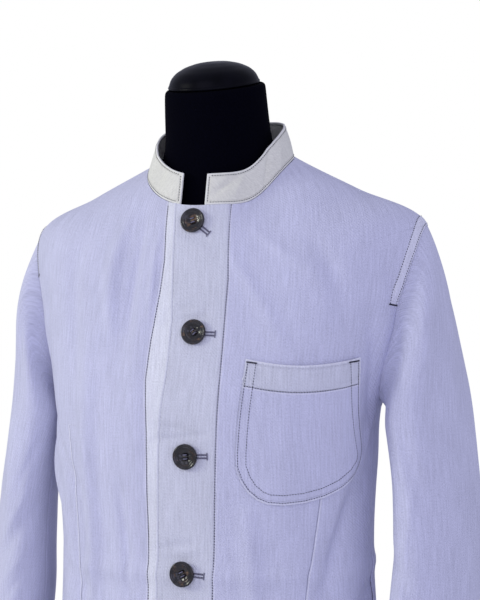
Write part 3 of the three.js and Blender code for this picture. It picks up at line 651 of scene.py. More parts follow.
def finishPiece(name, bm, material, nodes=()):
    mesh = bpy.data.meshes.new(name)
    bm.to_mesh(mesh)
    bm.free()
    for polygon in mesh.polygons:
        polygon.use_smooth = True
    piece = bpy.data.objects.new(name, mesh)
    bpy.context.collection.objects.link(piece)
    mesh.materials.append(material)
    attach(piece, "root")
    if nodes:
        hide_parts(*nodes)
    return piece


def clothPiece(name, columns, rows, surface, wall, material=denim, marks=None, finishedEdges=(),
               mapFrom=0.5):
    # a grid laid on its surface, with the cloth's own lengths as its map and a wall turned inwards;
    # mapFrom is the share across from which the map's lengths count
    columns, rows = int(columns * density), int(rows * density)
    bm = bmesh.new()
    bmesh.ops.create_grid(bm, x_segments=columns, y_segments=rows, size=1)
    flat = np.array([v.co[:2] for v in bm.verts])
    across, down = (flat[:, 0] + 1) / 2, (1 - flat[:, 1]) / 2
    places = surface(across, down)
    for vert, place in zip(bm.verts, places):
        vert.co = place * mm
    order = np.lexsort((np.rint(across * columns), np.rint(down * rows)))
    grid = places[order].reshape(rows + 1, columns + 1, 3)
    acrossSteps = np.linalg.norm(np.diff(grid, axis=1), axis=-1)
    downSteps = np.linalg.norm(np.diff(grid, axis=0), axis=-1)
    acrossLength = np.concatenate([np.zeros((rows + 1, 1)), np.cumsum(acrossSteps, 1)], 1)
    downLength = np.concatenate([np.zeros((1, columns + 1)), np.cumsum(downSteps, 0)], 0)
    # the map: lengths along the rows, measured level, and down the columns less what these lean
    levelSteps = np.linalg.norm(np.diff(grid[..., :2], axis=1), axis=-1)
    mapAcross = np.concatenate([np.zeros((rows + 1, 1)), np.cumsum(levelSteps, 1)], 1)
    mapAcross -= mapAcross[:, [int(columns * mapFrom)]]
    lean = np.diff(mapAcross, axis=0)
    mapSteps = np.sqrt(np.maximum(downSteps ** 2 - lean ** 2, (0.6 * downSteps) ** 2))
    mapDown = np.cumsum(np.concatenate([grid[:1, :, 2].max() - grid[:1, :, 2], mapSteps], 0), 0)
    edge = np.full(grid.shape[:2], farOff)
    for word, length in (("left", acrossLength), ("right", acrossLength[:, -1:] - acrossLength),
                         ("top", downLength), ("bottom", downLength[-1:] - downLength)):
        if word in finishedEdges:
            edge = np.minimum(edge, length)
    lengths = np.empty((len(flat), 3))
    lengths[order] = np.stack([mapAcross.ravel(), mapDown.ravel(), edge.ravel()], -1)
    layer = bm.loops.layers.uv.new("cloth")
    for face in bm.faces:
        for loop in face.loops:
            u, v = lengths[loop.vert.index, :2]
            loop[layer].uv = (u * mm, -v * mm)
    values = {key: np.full(len(flat), farOff) for key in ("facing", "dart", "strip")}
    values["edge"] = lengths[:, 2]
    if marks:
        values.update(marks(places, across, down))
    piece = finishPiece("cloth_" + name, bm, material, (name,))
    for key, column in values.items():
        attribute = piece.data.attributes.new(key, "FLOAT", "POINT")
        attribute.data.foreach_set("value", column.astype(np.float32))
    solidify = piece.modifiers.new("wall", "SOLIDIFY")
    solidify.thickness, solidify.offset = wall * mm, -1
    bevel = piece.modifiers.new("softRim", "BEVEL")
    bevel.width, bevel.segments, bevel.limit_method = wall * 0.3 * mm, 2, "ANGLE"
    bevel.angle_limit = math.radians(60)
    return piece


def frontLines(word, x, z):
    # how far places lie outside the facing's sewn line and the dart
    sign = 1 if word == "left" else -1
    return (sign * (x - np.interp(z, *lines[word])) for lines in (facingLine, dartLine))


def frontMarks(word):
    def marks(places, across, down):
        x, z = places[:, 0], places[:, 2] - shoulderHeight
        facing, away = frontLines(word, x, z)
        heights = dartLine[word][0]
        beyond = np.maximum(0, np.maximum(z - heights[-1], heights[0] - z))
        strip = fromArmhole(places) + farOff * (places[:, 2] < armholeEnds[word])
        return {"facing": facing, "dart": np.where(beyond > 0, np.hypot(away, beyond) + 4, away), "strip": strip}
    return marks


def seamRelief(distance, along):
    # a sewn line: a channel and small puckers along it
    channel = -0.5 * np.exp(-(distance / 1.6) ** 2)
    pucker = 0.16 * np.sin(along / 2.1 + 1.7 * np.sin(along / 9)) * np.exp(-(distance / 5) ** 2)
    return channel + pucker


sewing = {
    "facingTop": {"left": -39, "right": -41}, "hemLine": 22, "cuffLine": 26, "armholeInner": 2.2,
    "armholeOuter": {"left": 11.8, "right": 8.8}, "armholeEnd": {"left": 84, "right": 64, "back": 88},
    "onArmhole": 0.85, "facingEnd": -676, "collarLine": 2.8, "neckLine": 2.4,
}

armholeTurnStep = 2
armholeTurns = np.radians(np.arange(0, 360, armholeTurnStep))
armholeCurves = {side: bodyForm(*armholeChart(armholeTurns, side)) for side in (1, -1)}
# Heights at which the sewn lines end, and how far out the armholes' neighbourhood begins
armholeNearX = 120
armholeEnds = {word: armholeCurves[side][sewing["armholeEnd"][word] // armholeTurnStep, 2]
               for word, side in (("left", 1), ("right", -1))}


def fromArmhole(point):
    # distance from the nearer armhole, as a share of the reach of its outer sewn line
    share = np.full(point.shape[:-1], farOff)
    for side, word in ((1, "left"), (-1, "right")):
        near = point[..., 0] * side > armholeNearX
        away = np.linalg.norm(point[near][:, None] - armholeCurves[side], axis=-1).min(1)
        share[near] = away / sewing["armholeOuter"][word]
    return share


def armholeStrip(angle, level):
    # the seam's turnings lift the body along the armhole
    return 0.8 * (1 - smoothStep(1.02, 1.25, fromArmhole(bodyForm(angle, level))))


def frontRelief(word, angle, level):
    form = bodyForm(angle, level)
    z = form[..., 2] - shoulderHeight
    facing, dart = frontLines(word, form[..., 0], z)
    low, high = dartLine[word][0][0], dartLine[word][0][-1]
    inDart = smoothStep(low - 10, low + 30, z) * (1 - smoothStep(high - 30, high + 10, z))
    doubled = 0.35 * (1 - smoothStep(-1, 1.5, facing))
    return (seamRelief(facing, z) * 0.6 + doubled + seamRelief(dart, z + 7) * inDart * 1.3
            + armholeStrip(angle, level))


# How far the cloth lies inside its solid
laidIn = 0.1
frontPanel = {"columns": 110, "rows": 250, "wall": 1.5}


def frontAngle(word, across, level):
    if word == "left":
        return mix(angleAtX(rowAt(bodyRings, level)["edgeX"], level), frontSeamAngle(level), across ** 1.15)
    return mix(-frontSeamAngle(level), angleAtX(underlapX, level), across)


def frontSurface(word):
    def surface(across, down):
        level = panelLevel(down)
        angle = frontAngle(word, across, level)
        return frontPoint(word, angle, level, frontRelief(word, angle, level) - laidIn)
    return surface


def makeFront(word, cloth, mapFrom):
    return clothPiece("front_" + word, frontPanel["columns"], frontPanel["rows"], frontSurface(word),
                      frontPanel["wall"], cloth, frontMarks(word), (word, "bottom"), mapFrom=mapFrom)


# the wearer's right front takes the copy whose facing holds the painted highlight
frontLeft, frontRight = makeFront("left", denim, 0), makeFront("right", litFacingDenim, 1)
print("fronts made")

backPanel = {"columns": 170, "rows": 230, "wall": 1.5}
sidePocket = {"fromLevel": 5.88, "toLevel": 7.12, "gapeLeft": 2, "gapeRight": 7, "reach": 5,
              "bagWall": 1.1, "bodyWall": 1.6, "behind": 0.95, "bagAngles": (-6, 9), "columns": 14, "rows": 60}


def gapeDepth(angle, level):
    share = np.clip((level - sidePocket["fromLevel"]) / (sidePocket["toLevel"] - sidePocket["fromLevel"]), 0, 1)
    away = np.minimum(np.abs(angle - 90), np.abs(angle - 270)) / sidePocket["reach"]
    gape = np.where(angle < 180, sidePocket["gapeLeft"], sidePocket["gapeRight"])
    return gape * np.maximum(np.sin(math.pi * share), 0) ** 0.7 * np.exp(-away ** 2)


def wholeBack(across, down):
    level = panelLevel(down)
    seam = backSeamAngle(level)
    angle = mix(seam, 360 - seam, across)
    signed = np.where(angle > 180, angle - 360, angle)
    return bodyPoint(signed, level, gapeDepth(angle, level) + armholeStrip(signed, level) - laidIn)


back = clothPiece("back", backPanel["columns"], backPanel["rows"], wholeBack, backPanel["wall"],
                  finishedEdges=("bottom",))

collarBand = {"columns": 260, "rows": 22, "height": 35, "wall": 2.4, "leftEndX": 11, "rightEndX": -16}


def wholeCollar(across, down):
    height = 1 - down * (1 - seamGap / collarBand["height"])
    leftEnd, rightEnd = (collarEndAngle(collarBand[key], height) for key in ("leftEndX", "rightEndX"))
    turn = mix(leftEnd, 360 + rightEnd, across)
    return collarPoint(np.where(turn > 180, turn - 360, turn), height)


collar = clothPiece("collar", collarBand["columns"], collarBand["rows"], wholeCollar, collarBand["wall"],
                    material=collarDenim, finishedEdges=("left", "right", "top", "bottom"))
print("back and collar made")

# Columns and the angles of its two seams for each part of a sleeve
sleevePanel = {
    "rows": 190, "capRows": 5, "lowerRows": 11, "wall": 1.5, "radius": 45,
    "parts": {"top": (102, -120, 150), "under": (36, 150, 240)},
}


def sleeveLevel(share):
    cap, lower = sleevePanel["capRows"], sleevePanel["lowerRows"]
    row = share * (cap + lower)
    return np.where(row < cap, row / cap, 1 + 5 * (row - cap) / lower)


def sleevePanelSurface(side, fromAngle, toAngle):
    gap = math.degrees(seamGap / 2 / sleevePanel["radius"])

    def surface(across, down):
        share = 1 - across if side > 0 else across
        angle = mix(fromAngle + gap, toAngle - gap, share)
        toSeam = np.minimum(angle - fromAngle, toAngle - angle) * sleeveArcPerDegree
        level = sleeveLevel(down)
        relief = seamRelief(toSeam, level * 60) * smoothStep(0, 0.3, level) * 0.7
        return sleevePoint(side, angle, level, relief - laidIn)
    return surface


for word, side in (("left", 1), ("right", -1)):
    for part, (columns, *seams) in sleevePanel["parts"].items():
        clothPiece(
            f"sleeve_{word}_{part}", columns, sleevePanel["rows"], sleevePanelSurface(side, *seams),
            sleevePanel["wall"], finishedEdges=("bottom",))
print("sleeves made")

chestPocket = {
    "topAngle": (29, 69), "lowAngle": (27.7, 77.5), "topZ": (-196, -195), "sag": 7, "mouth": 2.2, "standOff": 1.2,
    "wall": 1.4, "columns": 100, "rows": 100, "hem": 26, "height": 140, "depth": 142,
    "lowAcross": (0, 0.004, 0.04, 0.096, 0.171, 0.245, 0.36, 0.51, 0.653, 0.793, 0.914, 0.975, 0.994, 1),
    "lowZ": (-290, -302, -314.5, -325.5, -333.5, -337.5, -338.8, -336.8, -332.3, -324.5, -314, -305, -299, -292),
    "creases": [(38, -232, 43, -300, 6, -0.9), (64, -226, 59, -290, 5, 0.8), (50, -300, 66, -312, 5, -0.6),
                (48, -222, 52, -276, 8, -0.6)],
}


def pocketSides(down):
    return (mix(chestPocket["topAngle"][k], chestPocket["lowAngle"][k], down) for k in (0, 1))


def pocketChart(across, down):
    # angle and height of a place of the pocket, at its share across and below the mouth
    topZ = mix(*chestPocket["topZ"], across) - chestPocket["sag"] * np.sin(math.pi * across)
    z = mix(topZ, np.interp(across, chestPocket["lowAcross"], chestPocket["lowZ"]), down)
    return mix(*pocketSides(down), across), z


def pocketOut(across, down):
    return chestPocket["mouth"] * np.sin(math.pi * across) * np.maximum(1 - down * 3, 0) ** 2


def closeAtEnds(share):
    # columns close together at the pocket's two sides
    return (1 - np.cos(share * math.pi)) / 2


def pocketSurface(share, down):
    across = closeAtEnds(share)
    angle, z = pocketChart(across, down)
    # the line that holds the mouth's hem draws it in
    drawnIn = 0.5 * np.exp(-((down * chestPocket["height"] - chestPocket["hem"]) / 2.2) ** 2)
    creases = foldDepth(chestPocket["creases"], arcPerDegree, angle, z)
    out = chestPocket["standOff"] + chestPocket["wall"] + pocketOut(across, down) - drawnIn + creases * 0.6
    return leftFrontPoint(angle, levelAtHeight(angle, z), out)


def pocketMarks(places, share, down):
    across = closeAtEnds(share)
    top, here = pocketChart(across, np.zeros_like(down))[1], pocketChart(across, down)[1]
    return {"facing": top - chestPocket["hem"] - here}


pocket = clothPiece("chest_pocket", chestPocket["columns"], chestPocket["rows"], pocketSurface, chestPocket["wall"],
                    marks=pocketMarks, finishedEdges=("left", "right", "top", "bottom"))


def bagSurface(side):
    def surface(across, down):
        level = mix(sidePocket["fromLevel"] - 0.05, sidePocket["toLevel"] + 0.05, down)
        away = mix(*sidePocket["bagAngles"], across if side > 0 else 1 - across)
        return bodyPoint(side * (90 + away), level, -sidePocket["bodyWall"] - sidePocket["behind"])
    return surface


for word, side in (("left", 1), ("right", -1)):
    clothPiece(f"side_pocket_{word}", sidePocket["columns"], sidePocket["rows"], bagSurface(side),
                            sidePocket["bagWall"], material=pocketing)
print("pockets made")

# Sewing: each stitch is a small bead of thread laid on the cloth
stitchSize = {"length": 2.2, "gap": 0.5, "width": 0.82, "height": 0.6, "onFront": 0.2, "onEdge": 0.1}
barSize = {"pitch": 0.55, "out": 0.15, "lean": 0.15, "past": 1.6, "bead": (1.9, 0.7, 0.6)}
edgePoints = 400
bm = bmesh.new()
bmesh.ops.create_icosphere(bm, subdivisions=1, radius=1)
beadShape = bpy.data.meshes.new("bead")
bm.to_mesh(beadShape)
bm.free()


def resample(points, spacing):
    steps = np.linalg.norm(np.diff(points, axis=0), axis=-1)
    run = np.concatenate([[0], np.cumsum(steps)])
    count = max(int(run[-1] / spacing), 1)
    wanted = (np.arange(count) + 0.5) * run[-1] / count
    return np.stack([np.interp(wanted, run, points[:, k]) for k in range(points.shape[1])], -1)


def placed(place, *axes):
    # matrix that puts a shape's own axes at a place in millimetres
    return Matrix.Translation(Vector(place) * mm) @ Matrix(axes).transposed().to_4x4()


def bead(bm, place, along, normal, size):
    along = Vector(along).normalized()
    beside = Vector(normal).normalized().cross(along).normalized()
    scale = Matrix.Diagonal((*[k * 0.5 * mm for k in size], 1))
    copy = beadShape.copy()
    copy.transform(placed(place, along, beside, along.cross(beside)) @ scale)
    bm.from_mesh(copy)
    bpy.data.meshes.remove(copy)


def sewLine(bm, points, normals):
    rows = resample(np.concatenate([points, normals], -1), stitchSize["length"] + stitchSize["gap"])
    places, normals = rows[:, :3], rows[:, 3:]
    tangents = np.gradient(places, axis=0) if len(places) > 1 else np.array([points[-1] - points[0]])
    for place, tangent, normal in zip(places, tangents, normals):
        bead(bm, place, tangent, normal, (stitchSize["length"], stitchSize["width"], stitchSize["height"]))


def surfaceNormals(surface, across, down):
    step = 0.004
    alongAcross = surface(np.minimum(across + step, 1), down) - surface(np.maximum(across - step, 0), down)
    alongDown = surface(across, np.minimum(down + step, 1)) - surface(across, np.maximum(down - step, 0))
    return unit(np.cross(alongDown, alongAcross))


def bodyNormals(angle, level):
    return outward(bodyForm, np.asarray(angle, float), np.asarray(level, float))


def sewOnFront(bm, word, x, z):
    angle, level = findOnFront(x, z)
    relief = frontRelief(word, angle, level) + stitchSize["onFront"]
    sewLine(bm, frontPoint(word, angle, level, relief), bodyNormals(angle, level))


def edgeRun(surface, border, inset):
    # a line at a distance inside one border of a piece, from the piece's own lengths
    upright, first = border in ("left", "right"), border in ("left", "top")
    share, fixed = np.linspace(0, 1, edgePoints), np.full(edgePoints, 0.0 if first else 1.0)
    across, down = (fixed, share) if upright else (share, fixed)
    step = 0.01 if first else -0.01
    acrossStep, downStep = (step, 0) if upright else (0, step)
    span = np.linalg.norm(surface(across + acrossStep, down + downStep) - surface(across, down), axis=-1)
    return across + acrossStep * inset / span, down + downStep * inset / span


def sewEdge(bm, surface, border, inset, start, end):
    across, down = (run[int(start * edgePoints):int(end * edgePoints)] for run in edgeRun(surface, border, inset))
    normals = surfaceNormals(surface, across, down)
    sewLine(bm, surface(across, down) + normals * stitchSize["onEdge"], normals)


def offsetOnArmhole(turn, side, inset):
    # angle and level of places on the body a distance inside the armhole
    angle, level = armholeChart(turn, side)
    point = bodyForm(angle, level)
    inward = unit(np.cross(np.gradient(point, axis=0), bodyNormals(angle, level)))
    inward *= np.sign((inward * (point - point.mean(0))).sum(-1))[:, None]
    # the inward step told in the chart's two directions, which aren't square to each other
    byAngle = bodyForm(angle + 0.5, level) - bodyForm(angle - 0.5, level)
    byLevel = (bodyForm(angle, level + 0.01) - bodyForm(angle, level - 0.01)) / 0.02
    aa, bb, ab = (byAngle ** 2).sum(-1), (byLevel ** 2).sum(-1), (byAngle * byLevel).sum(-1)
    ta, tb = (byAngle * inward).sum(-1), (byLevel * inward).sum(-1)
    det = aa * bb - ab ** 2
    return angle + inset * (ta * bb - tb * ab) / det, level + inset * (tb * aa - ta * ab) / det


def sewArmhole(bm, side, front):
    word = "left" if side > 0 else "right"
    end = math.radians(sewing["armholeEnd"][word if front else "back"])
    turn = np.linspace(0.06, end, 160) * (1 if front else -1)
    ends = []
    for inset in (sewing["armholeInner"], sewing["armholeOuter"][word]):
        angle, level = offsetOnArmhole(turn, side, inset)
        points = frontPoint(word if front else "back", angle, level, sewing["onArmhole"])
        normals = bodyNormals(angle, level)
        sewLine(bm, points, normals)
        ends.append((points[-1], normals[-1]))
    (inner, normal), (outer, _) = ends
    reach = unit(outer - inner)
    barTack(bm, inner - reach * barSize["past"], outer + reach * barSize["past"], normal)


def barTack(bm, start, end, normal):
    # close threads across a short bar
    along = unit(end - start)
    length = np.linalg.norm(end - start)
    beside = unit(np.cross(normal, along))
    for share in np.linspace(0, 1, max(int(length / barSize["pitch"]), 4)):
        place = start + along * length * share + normal * barSize["out"]
        bead(bm, place, beside + along * barSize["lean"], normal, barSize["bead"])


for word, side, hemEnds in (("left", 1, (0.02, 0.99)), ("right", -1, (0.01, 0.98))):
    bm = bmesh.new()
    heights = np.linspace(sewing["facingTop"][word], sewing["facingEnd"], 400)
    sewOnFront(bm, word, np.interp(heights, *facingLine[word]), heights)
    sewEdge(bm, frontSurface(word), "bottom", sewing["hemLine"], *hemEnds)
    sewArmhole(bm, side, True)
    finishPiece("stitching_front_" + word, bm, thread)

bm = bmesh.new()
sewEdge(bm, wholeBack, "bottom", sewing["hemLine"], 0.01, 0.99)
for side in (1, -1):
    sewArmhole(bm, side, False)
finishPiece("stitching_back", bm, thread)


def collarInside(across, down):
    points = wholeCollar(across, down)
    return points - surfaceNormals(wholeCollar, across, down) * (collarBand["wall"] + 0.1)


bm = bmesh.new()
for border in ("left", "right"):
    sewEdge(bm, wholeCollar, border, sewing["collarLine"], 0.1, 0.92)
for border, inset in (("top", sewing["collarLine"]), ("bottom", sewing["neckLine"])):
    sewEdge(bm, wholeCollar, border, inset, 0.012, 0.988)
across, down = edgeRun(wholeCollar, "top", sewing["collarLine"])
sewLine(bm, collarInside(across, down)[6:-6], -surfaceNormals(wholeCollar, across, down)[6:-6])
finishPiece("stitching_collar", bm, thread)

for word, side in (("left", 1), ("right", -1)):
    for part, (_, *seams) in sleevePanel["parts"].items():
        bm = bmesh.new()
        sewEdge(bm, sleevePanelSurface(side, *seams), "bottom", sewing["cuffLine"], 0.01, 0.99)
        finishPiece(f"stitching_sleeve_{word}_{part}", bm, thread)


# How far the hem's line runs past the mouth's angles, and where the lines and the two bars begin
pocketSewing = {"lines": (2.1, 9.7), "startDrop": 3.5, "hemPast": (-0.4, 2.2),
                "barDrops": (3.2, 4.4), "barEnds": (1, 10.4)}


def pocketPath(inset):
    # the pocket's outline below its mouth, drawn in by a distance on the chart
    down, across = np.linspace(0, 1, 60), closeAtEnds(np.linspace(0, 1, 160))
    runs = [pocketChart(0 * down, down), pocketChart(across, 0 * across + 1), pocketChart(0 * down + 1, down[::-1])]
    angle, z = (np.concatenate([run[k] for run in runs]) for k in (0, 1))
    path = resample(np.stack([angle * arcPerDegree, z], -1), 1.2)
    tangent = unit(np.gradient(path, axis=0))
    # the line's direction, evened out over 11 points so that it rounds the corners
    rounded = [np.convolve(np.pad(tangent[:, k], 5, "edge"), np.ones(11) / 11, "valid") for k in (0, 1)]
    rounded = np.stack(rounded, -1)
    inner = path + np.stack([-rounded[:, 1], rounded[:, 0]], -1) * inset
    return inner[inner[:, 1] < chestPocket["topZ"][0] - pocketSewing["startDrop"]]


def onPocket(arc, z, out=0.1):
    angle = arc / arcPerDegree
    level = levelAtHeight(angle, z)
    down = np.clip((chestPocket["topZ"][0] - z) / chestPocket["depth"], 0, 1)
    leftAngle, rightAngle = pocketSides(down)
    across = np.clip((angle - leftAngle) / (rightAngle - leftAngle), 0, 1)
    lift = chestPocket["standOff"] + chestPocket["wall"] + pocketOut(across, down)
    return leftFrontPoint(angle, level, lift + out), bodyNormals(angle, level)


bm = bmesh.new()
for inset in pocketSewing["lines"]:
    path = pocketPath(inset)
    points, normals = onPocket(path[:, 0], path[:, 1])
    sewLine(bm, points, normals)
share = np.linspace(0.012, 0.988, 120)
z = pocketChart(share, np.zeros(120))[1] - chestPocket["hem"]
angle = mix(*(chestPocket["topAngle"][k] + pocketSewing["hemPast"][k] for k in (0, 1)), share)
points, normals = onPocket(angle * arcPerDegree, z, 0.2)
sewLine(bm, points, normals)
for index, inward in ((0, 1), (1, -1)):
    barZ = chestPocket["topZ"][index] - np.array(pocketSewing["barDrops"])
    barArc = chestPocket["topAngle"][index] * arcPerDegree + inward * np.array(pocketSewing["barEnds"])
    ends, normals = onPocket(barArc, barZ, 0.3)
    barTack(bm, ends[0], ends[1], normals[0])
finishPiece("stitching_chest_pocket", bm, thread)
print("topstitching sewn")

# Buttons with four holes, their thread and their buttonholes
button = {
    "heights": (-58.5, -171.5, -292.5, -409, -525), "x": (1, 11, 7, 3, 2), "standOff": 0.5, "sides": 48,
    "outline": ((12.7, 1.4), (12.7, 2.9), (12.3, 3.8), (11.6, 4.1), (10.8, 3.9), (10.2, 3.2), (9.9, 3.15),
                (9.4, 3.6), (9.0, 3.5), (8.4, 2.6)),
    "floor": 2.35, "floorRadius": 7.7, "backRadius": 10.8, "turn": (18, 40, 5, 28, 12),
    "holeRadius": 1.15, "holeOffset": 2.0, "holeDepth": 1.5, "holeSides": 14,
    "threadShifts": (-0.42, 0, 0.42), "threadBead": (0.95, 0.5, 0.5),
}
buttonhole = {"slant": (-38, -2, 2, -3, 0), "length": 21.3, "half": 1.6, "pitch": 0.62,
              "bead": (2.3, 0.68, 0.9), "barPast": 0.6, "barHalf": 3.3}


def buttonPlace(index):
    # angle and level of a button's middle
    level = levelAtHeight(np.zeros(1), np.array([button["heights"][index]], float))
    return angleAtX(np.array([button["x"][index]], float), level), level


def buttonFrame(index):
    angle, level = buttonPlace(index)
    normal = Vector(bodyNormals(angle, level)[0])
    beside = Vector((0, 0, 1)).cross(normal).normalized()
    spin = Matrix.Rotation(math.radians(button["turn"][index]), 4, "Z")
    place = leftFrontPoint(angle, level, button["standOff"])[0]
    return placed(place, beside, normal.cross(beside), normal) @ Matrix.Scale(mm, 4) @ spin


def edgesWithin(ring):
    return [e for e in {e for v in ring for e in v.link_edges} if all(v in ring for v in e.verts)]


def extrude(bm, edges):
    made = bmesh.ops.extrude_edge_only(bm, edges=edges)["geom"]
    return ([part for part in made if isinstance(part, kind)] for kind in (bmesh.types.BMVert, bmesh.types.BMEdge))


def makeButton(index):
    bm = bmesh.new()
    floorRing = bmesh.ops.create_circle(bm, segments=button["sides"], radius=button["floorRadius"])["verts"]
    offset = button["holeOffset"]
    holes = []
    for x, y in ((offset, offset), (-offset, offset), (-offset, -offset), (offset, -offset)):
        holes.append(bmesh.ops.create_circle(bm, segments=button["holeSides"], radius=button["holeRadius"],
                                             matrix=Matrix.Translation((x, y, 0)))["verts"])
    bmesh.ops.translate(bm, verts=bm.verts[:], vec=(0, 0, button["floor"]))
    bmesh.ops.triangle_fill(bm, use_beauty=True, use_dissolve=False, edges=bm.edges[:], normal=(0, 0, 1))
    for ring in holes:
        lower, lowerEdges = extrude(bm, edgesWithin(ring))
        bmesh.ops.translate(bm, verts=lower, vec=(0, 0, -button["holeDepth"]))
        bmesh.ops.contextual_create(bm, geom=lowerEdges)
    outer = edgesWithin(floorRing)
    for radius, height in (*reversed(button["outline"]), (button["backRadius"], 0.0)):
        verts, outer = extrude(bm, outer)
        for v in verts:
            grow = radius / math.hypot(v.co.x, v.co.y)
            v.co = (v.co.x * grow, v.co.y * grow, height)
    bmesh.ops.contextual_create(bm, geom=outer)
    bmesh.ops.recalc_face_normals(bm, faces=bm.faces[:])
    bmesh.ops.transform(bm, matrix=buttonFrame(index), verts=bm.verts[:])
    finishPiece(f"horn_button_{index + 1}", bm, horn, (f"button_{index + 1}",))


def makeButtonThread(index):
    # two bars of thread that arch from hole to hole
    bm = bmesh.new()
    matrix = buttonFrame(index)
    along, _, normal = matrix.to_3x3().col
    offset = button["holeOffset"]
    for y in (-offset, offset):
        for shift in button["threadShifts"]:
            for share in np.linspace(-1, 1, 9):
                rise = button["floor"] + 0.55 * (1 - share ** 4) - 0.1
                place = matrix @ Vector((offset * share, y + shift * (1 - 0.35 * abs(share)), rise))
                bead(bm, place / mm, along, normal, button["threadBead"])
    finishPiece(f"button_thread_{index + 1}", bm, holeThread)


def makeButtonhole(index):
    # two rows of close stitches from under the button, with a bar at their far end
    bm = bmesh.new()
    slant = math.radians(buttonhole["slant"][index])
    centre = bodyForm(*buttonPlace(index))[0]

    def lay(runs, sideways, out):
        x = centre[0] + runs * math.cos(slant) - sideways * math.sin(slant)
        heights = button["heights"][index] + runs * math.sin(slant) + sideways * math.cos(slant)
        angle, levels = findOnFront(x, heights)
        relief = frontRelief("left", angle, levels)
        return leftFrontPoint(angle, levels, relief + out), bodyNormals(angle, levels)

    runs = np.arange(1.0, buttonhole["length"], buttonhole["pitch"])
    for sign in (-1, 1):
        points, normals = lay(runs, np.full_like(runs, sign * buttonhole["half"]), 0.2)
        outer, _ = lay(runs, np.full_like(runs, sign * (buttonhole["half"] + 1)), 0.2)
        for place, beyond, normal in zip(points, outer, normals):
            bead(bm, place, beyond - place, normal, buttonhole["bead"])
    barRun = buttonhole["length"] + buttonhole["barPast"]
    ends, normals = lay(np.full(2, barRun), np.array([-1, 1]) * buttonhole["barHalf"], 0.3)
    barTack(bm, ends[0], ends[1], normals[0])
    return finishPiece(f"buttonhole_{index + 1}", bm, holeThread)


for index in range(5):
    makeButton(index)
    makeButtonThread(index)
    makeButtonhole(index)
print("buttons and buttonholes made")

# Dress form and stand
formGaps = [dict(side=a, middle=b) for a, b in (
    (0.45, 5), (1.6, 7), (6, 8), (10, 8), (9, 8), (8, 8), (9, 9), (14, 12), (22, 18))]
form = {
    "levels": (8, 7.5, 7, 6.5, 6, 5.5, 5, 4.5, 4, 3.5, 3, 2.6, 2.2, 2, 1.6, 1.2, 0.8, 0.4),
    "sides": 64, "bottomZ": -722, "clothReach": 1.75,
    "neckTopZ": 88, "neckTopY": -21, "half": 51, "depth": 48, "tilt": 15,
    # share of the hem's ring and height above the bottom; drop and growth of the sloped top's rings
    "bottomRings": ((0.5, 0), (0.88, 0), (0.93, 1.5), (0.97, 8)),
    "topRings": ((7, 3), (3.4, 2.6), (1.2, 1.4), (0.2, -0.4), (0.2, -3), (0.2, -20)),
}
neckRings = [dict(zip(ringColumns, row)) for row in (
    (-33, 6, 14, 66, 61, 53, -5, 0, 2, 0, 11), (2, 26, 32, 57, 55, 50, -8, 0, 2, 0, 5),
    (36, 48, 58, 56, 53, 49, -14, 0, 2, 0, 0))]


def slopedRing(angles, drop, grow):
    turn = np.radians(angles)
    reach = -(form["depth"] + grow) * np.cos(turn)
    slope = math.tan(math.radians(form["tilt"]))
    return np.stack([(form["half"] + grow) * np.sin(turn), form["neckTopY"] + reach,
                     form["neckTopZ"] + shoulderHeight + slope * reach - drop], -1)


angles = np.arange(form["sides"]) * 360 / form["sides"]
rings = []
for level in form["levels"]:
    levels = np.full_like(angles, float(level))
    gaps = rowAt(formGaps, levels)
    flank = np.abs(np.sin(np.radians(angles))) ** 6
    gap = form["clothReach"] + mix(gaps["middle"], gaps["side"], flank)
    rings.append(bodyForm(angles, levels) - bodyNormals(angles, levels) * gap[:, None])
hem = rings[0]
bottom = [np.concatenate([hem[:, :2] * k, np.full((len(hem), 1), form["bottomZ"] + shoulderHeight + rise)], 1)
          for k, rise in form["bottomRings"]]
rings = bottom + rings + [ringPoint(ring, angles) for ring in neckRings]
rings += [slopedRing(angles, drop, grow) for drop, grow in form["topRings"]]
bm = bmesh.new()
bmesh.ops.create_grid(bm, x_segments=form["sides"], y_segments=len(rings) - 1, size=1)
for vert in bm.verts:
    column = round((vert.co.x + 1) / 2 * form["sides"]) % form["sides"]
    row = round((vert.co.y + 1) / 2 * (len(rings) - 1))
    vert.co = rings[row][column] * mm
bmesh.ops.remove_doubles(bm, verts=bm.verts[:], dist=1e-6)
bmesh.ops.holes_fill(bm, edges=[e for e in bm.edges if e.is_boundary], sides=0)
bmesh.ops.recalc_face_normals(bm, faces=bm.faces[:])
formBody = finishPiece("jersey_form", bm, jersey, ("form_body",))
smoothing = formBody.modifiers.new("smooth", "SUBSURF")
smoothing.levels = smoothing.render_levels = 1


def turnedPiece(name, outline, material, place, lean=0.0, steps=96):
    bm = bmesh.new()
    verts = [bm.verts.new((radius * mm, 0, height * mm)) for radius, height in outline]
    edges = [bm.edges.new(pair) for pair in zip(verts, verts[1:])]
    bmesh.ops.spin(bm, geom=verts + edges, axis=(0, 0, 1), cent=(0, 0, 0), angle=2 * math.pi, steps=steps,
                   use_merge=True)
    bmesh.ops.remove_doubles(bm, verts=bm.verts[:], dist=1e-6)
    bmesh.ops.recalc_face_normals(bm, faces=bm.faces[:])
    matrix = Matrix.Translation(Vector(place) * mm) @ Matrix.Rotation(lean, 4, "X")
    bmesh.ops.transform(bm, matrix=matrix, verts=bm.verts[:])
    finishPiece("turned_" + name, bm, material, (name,))


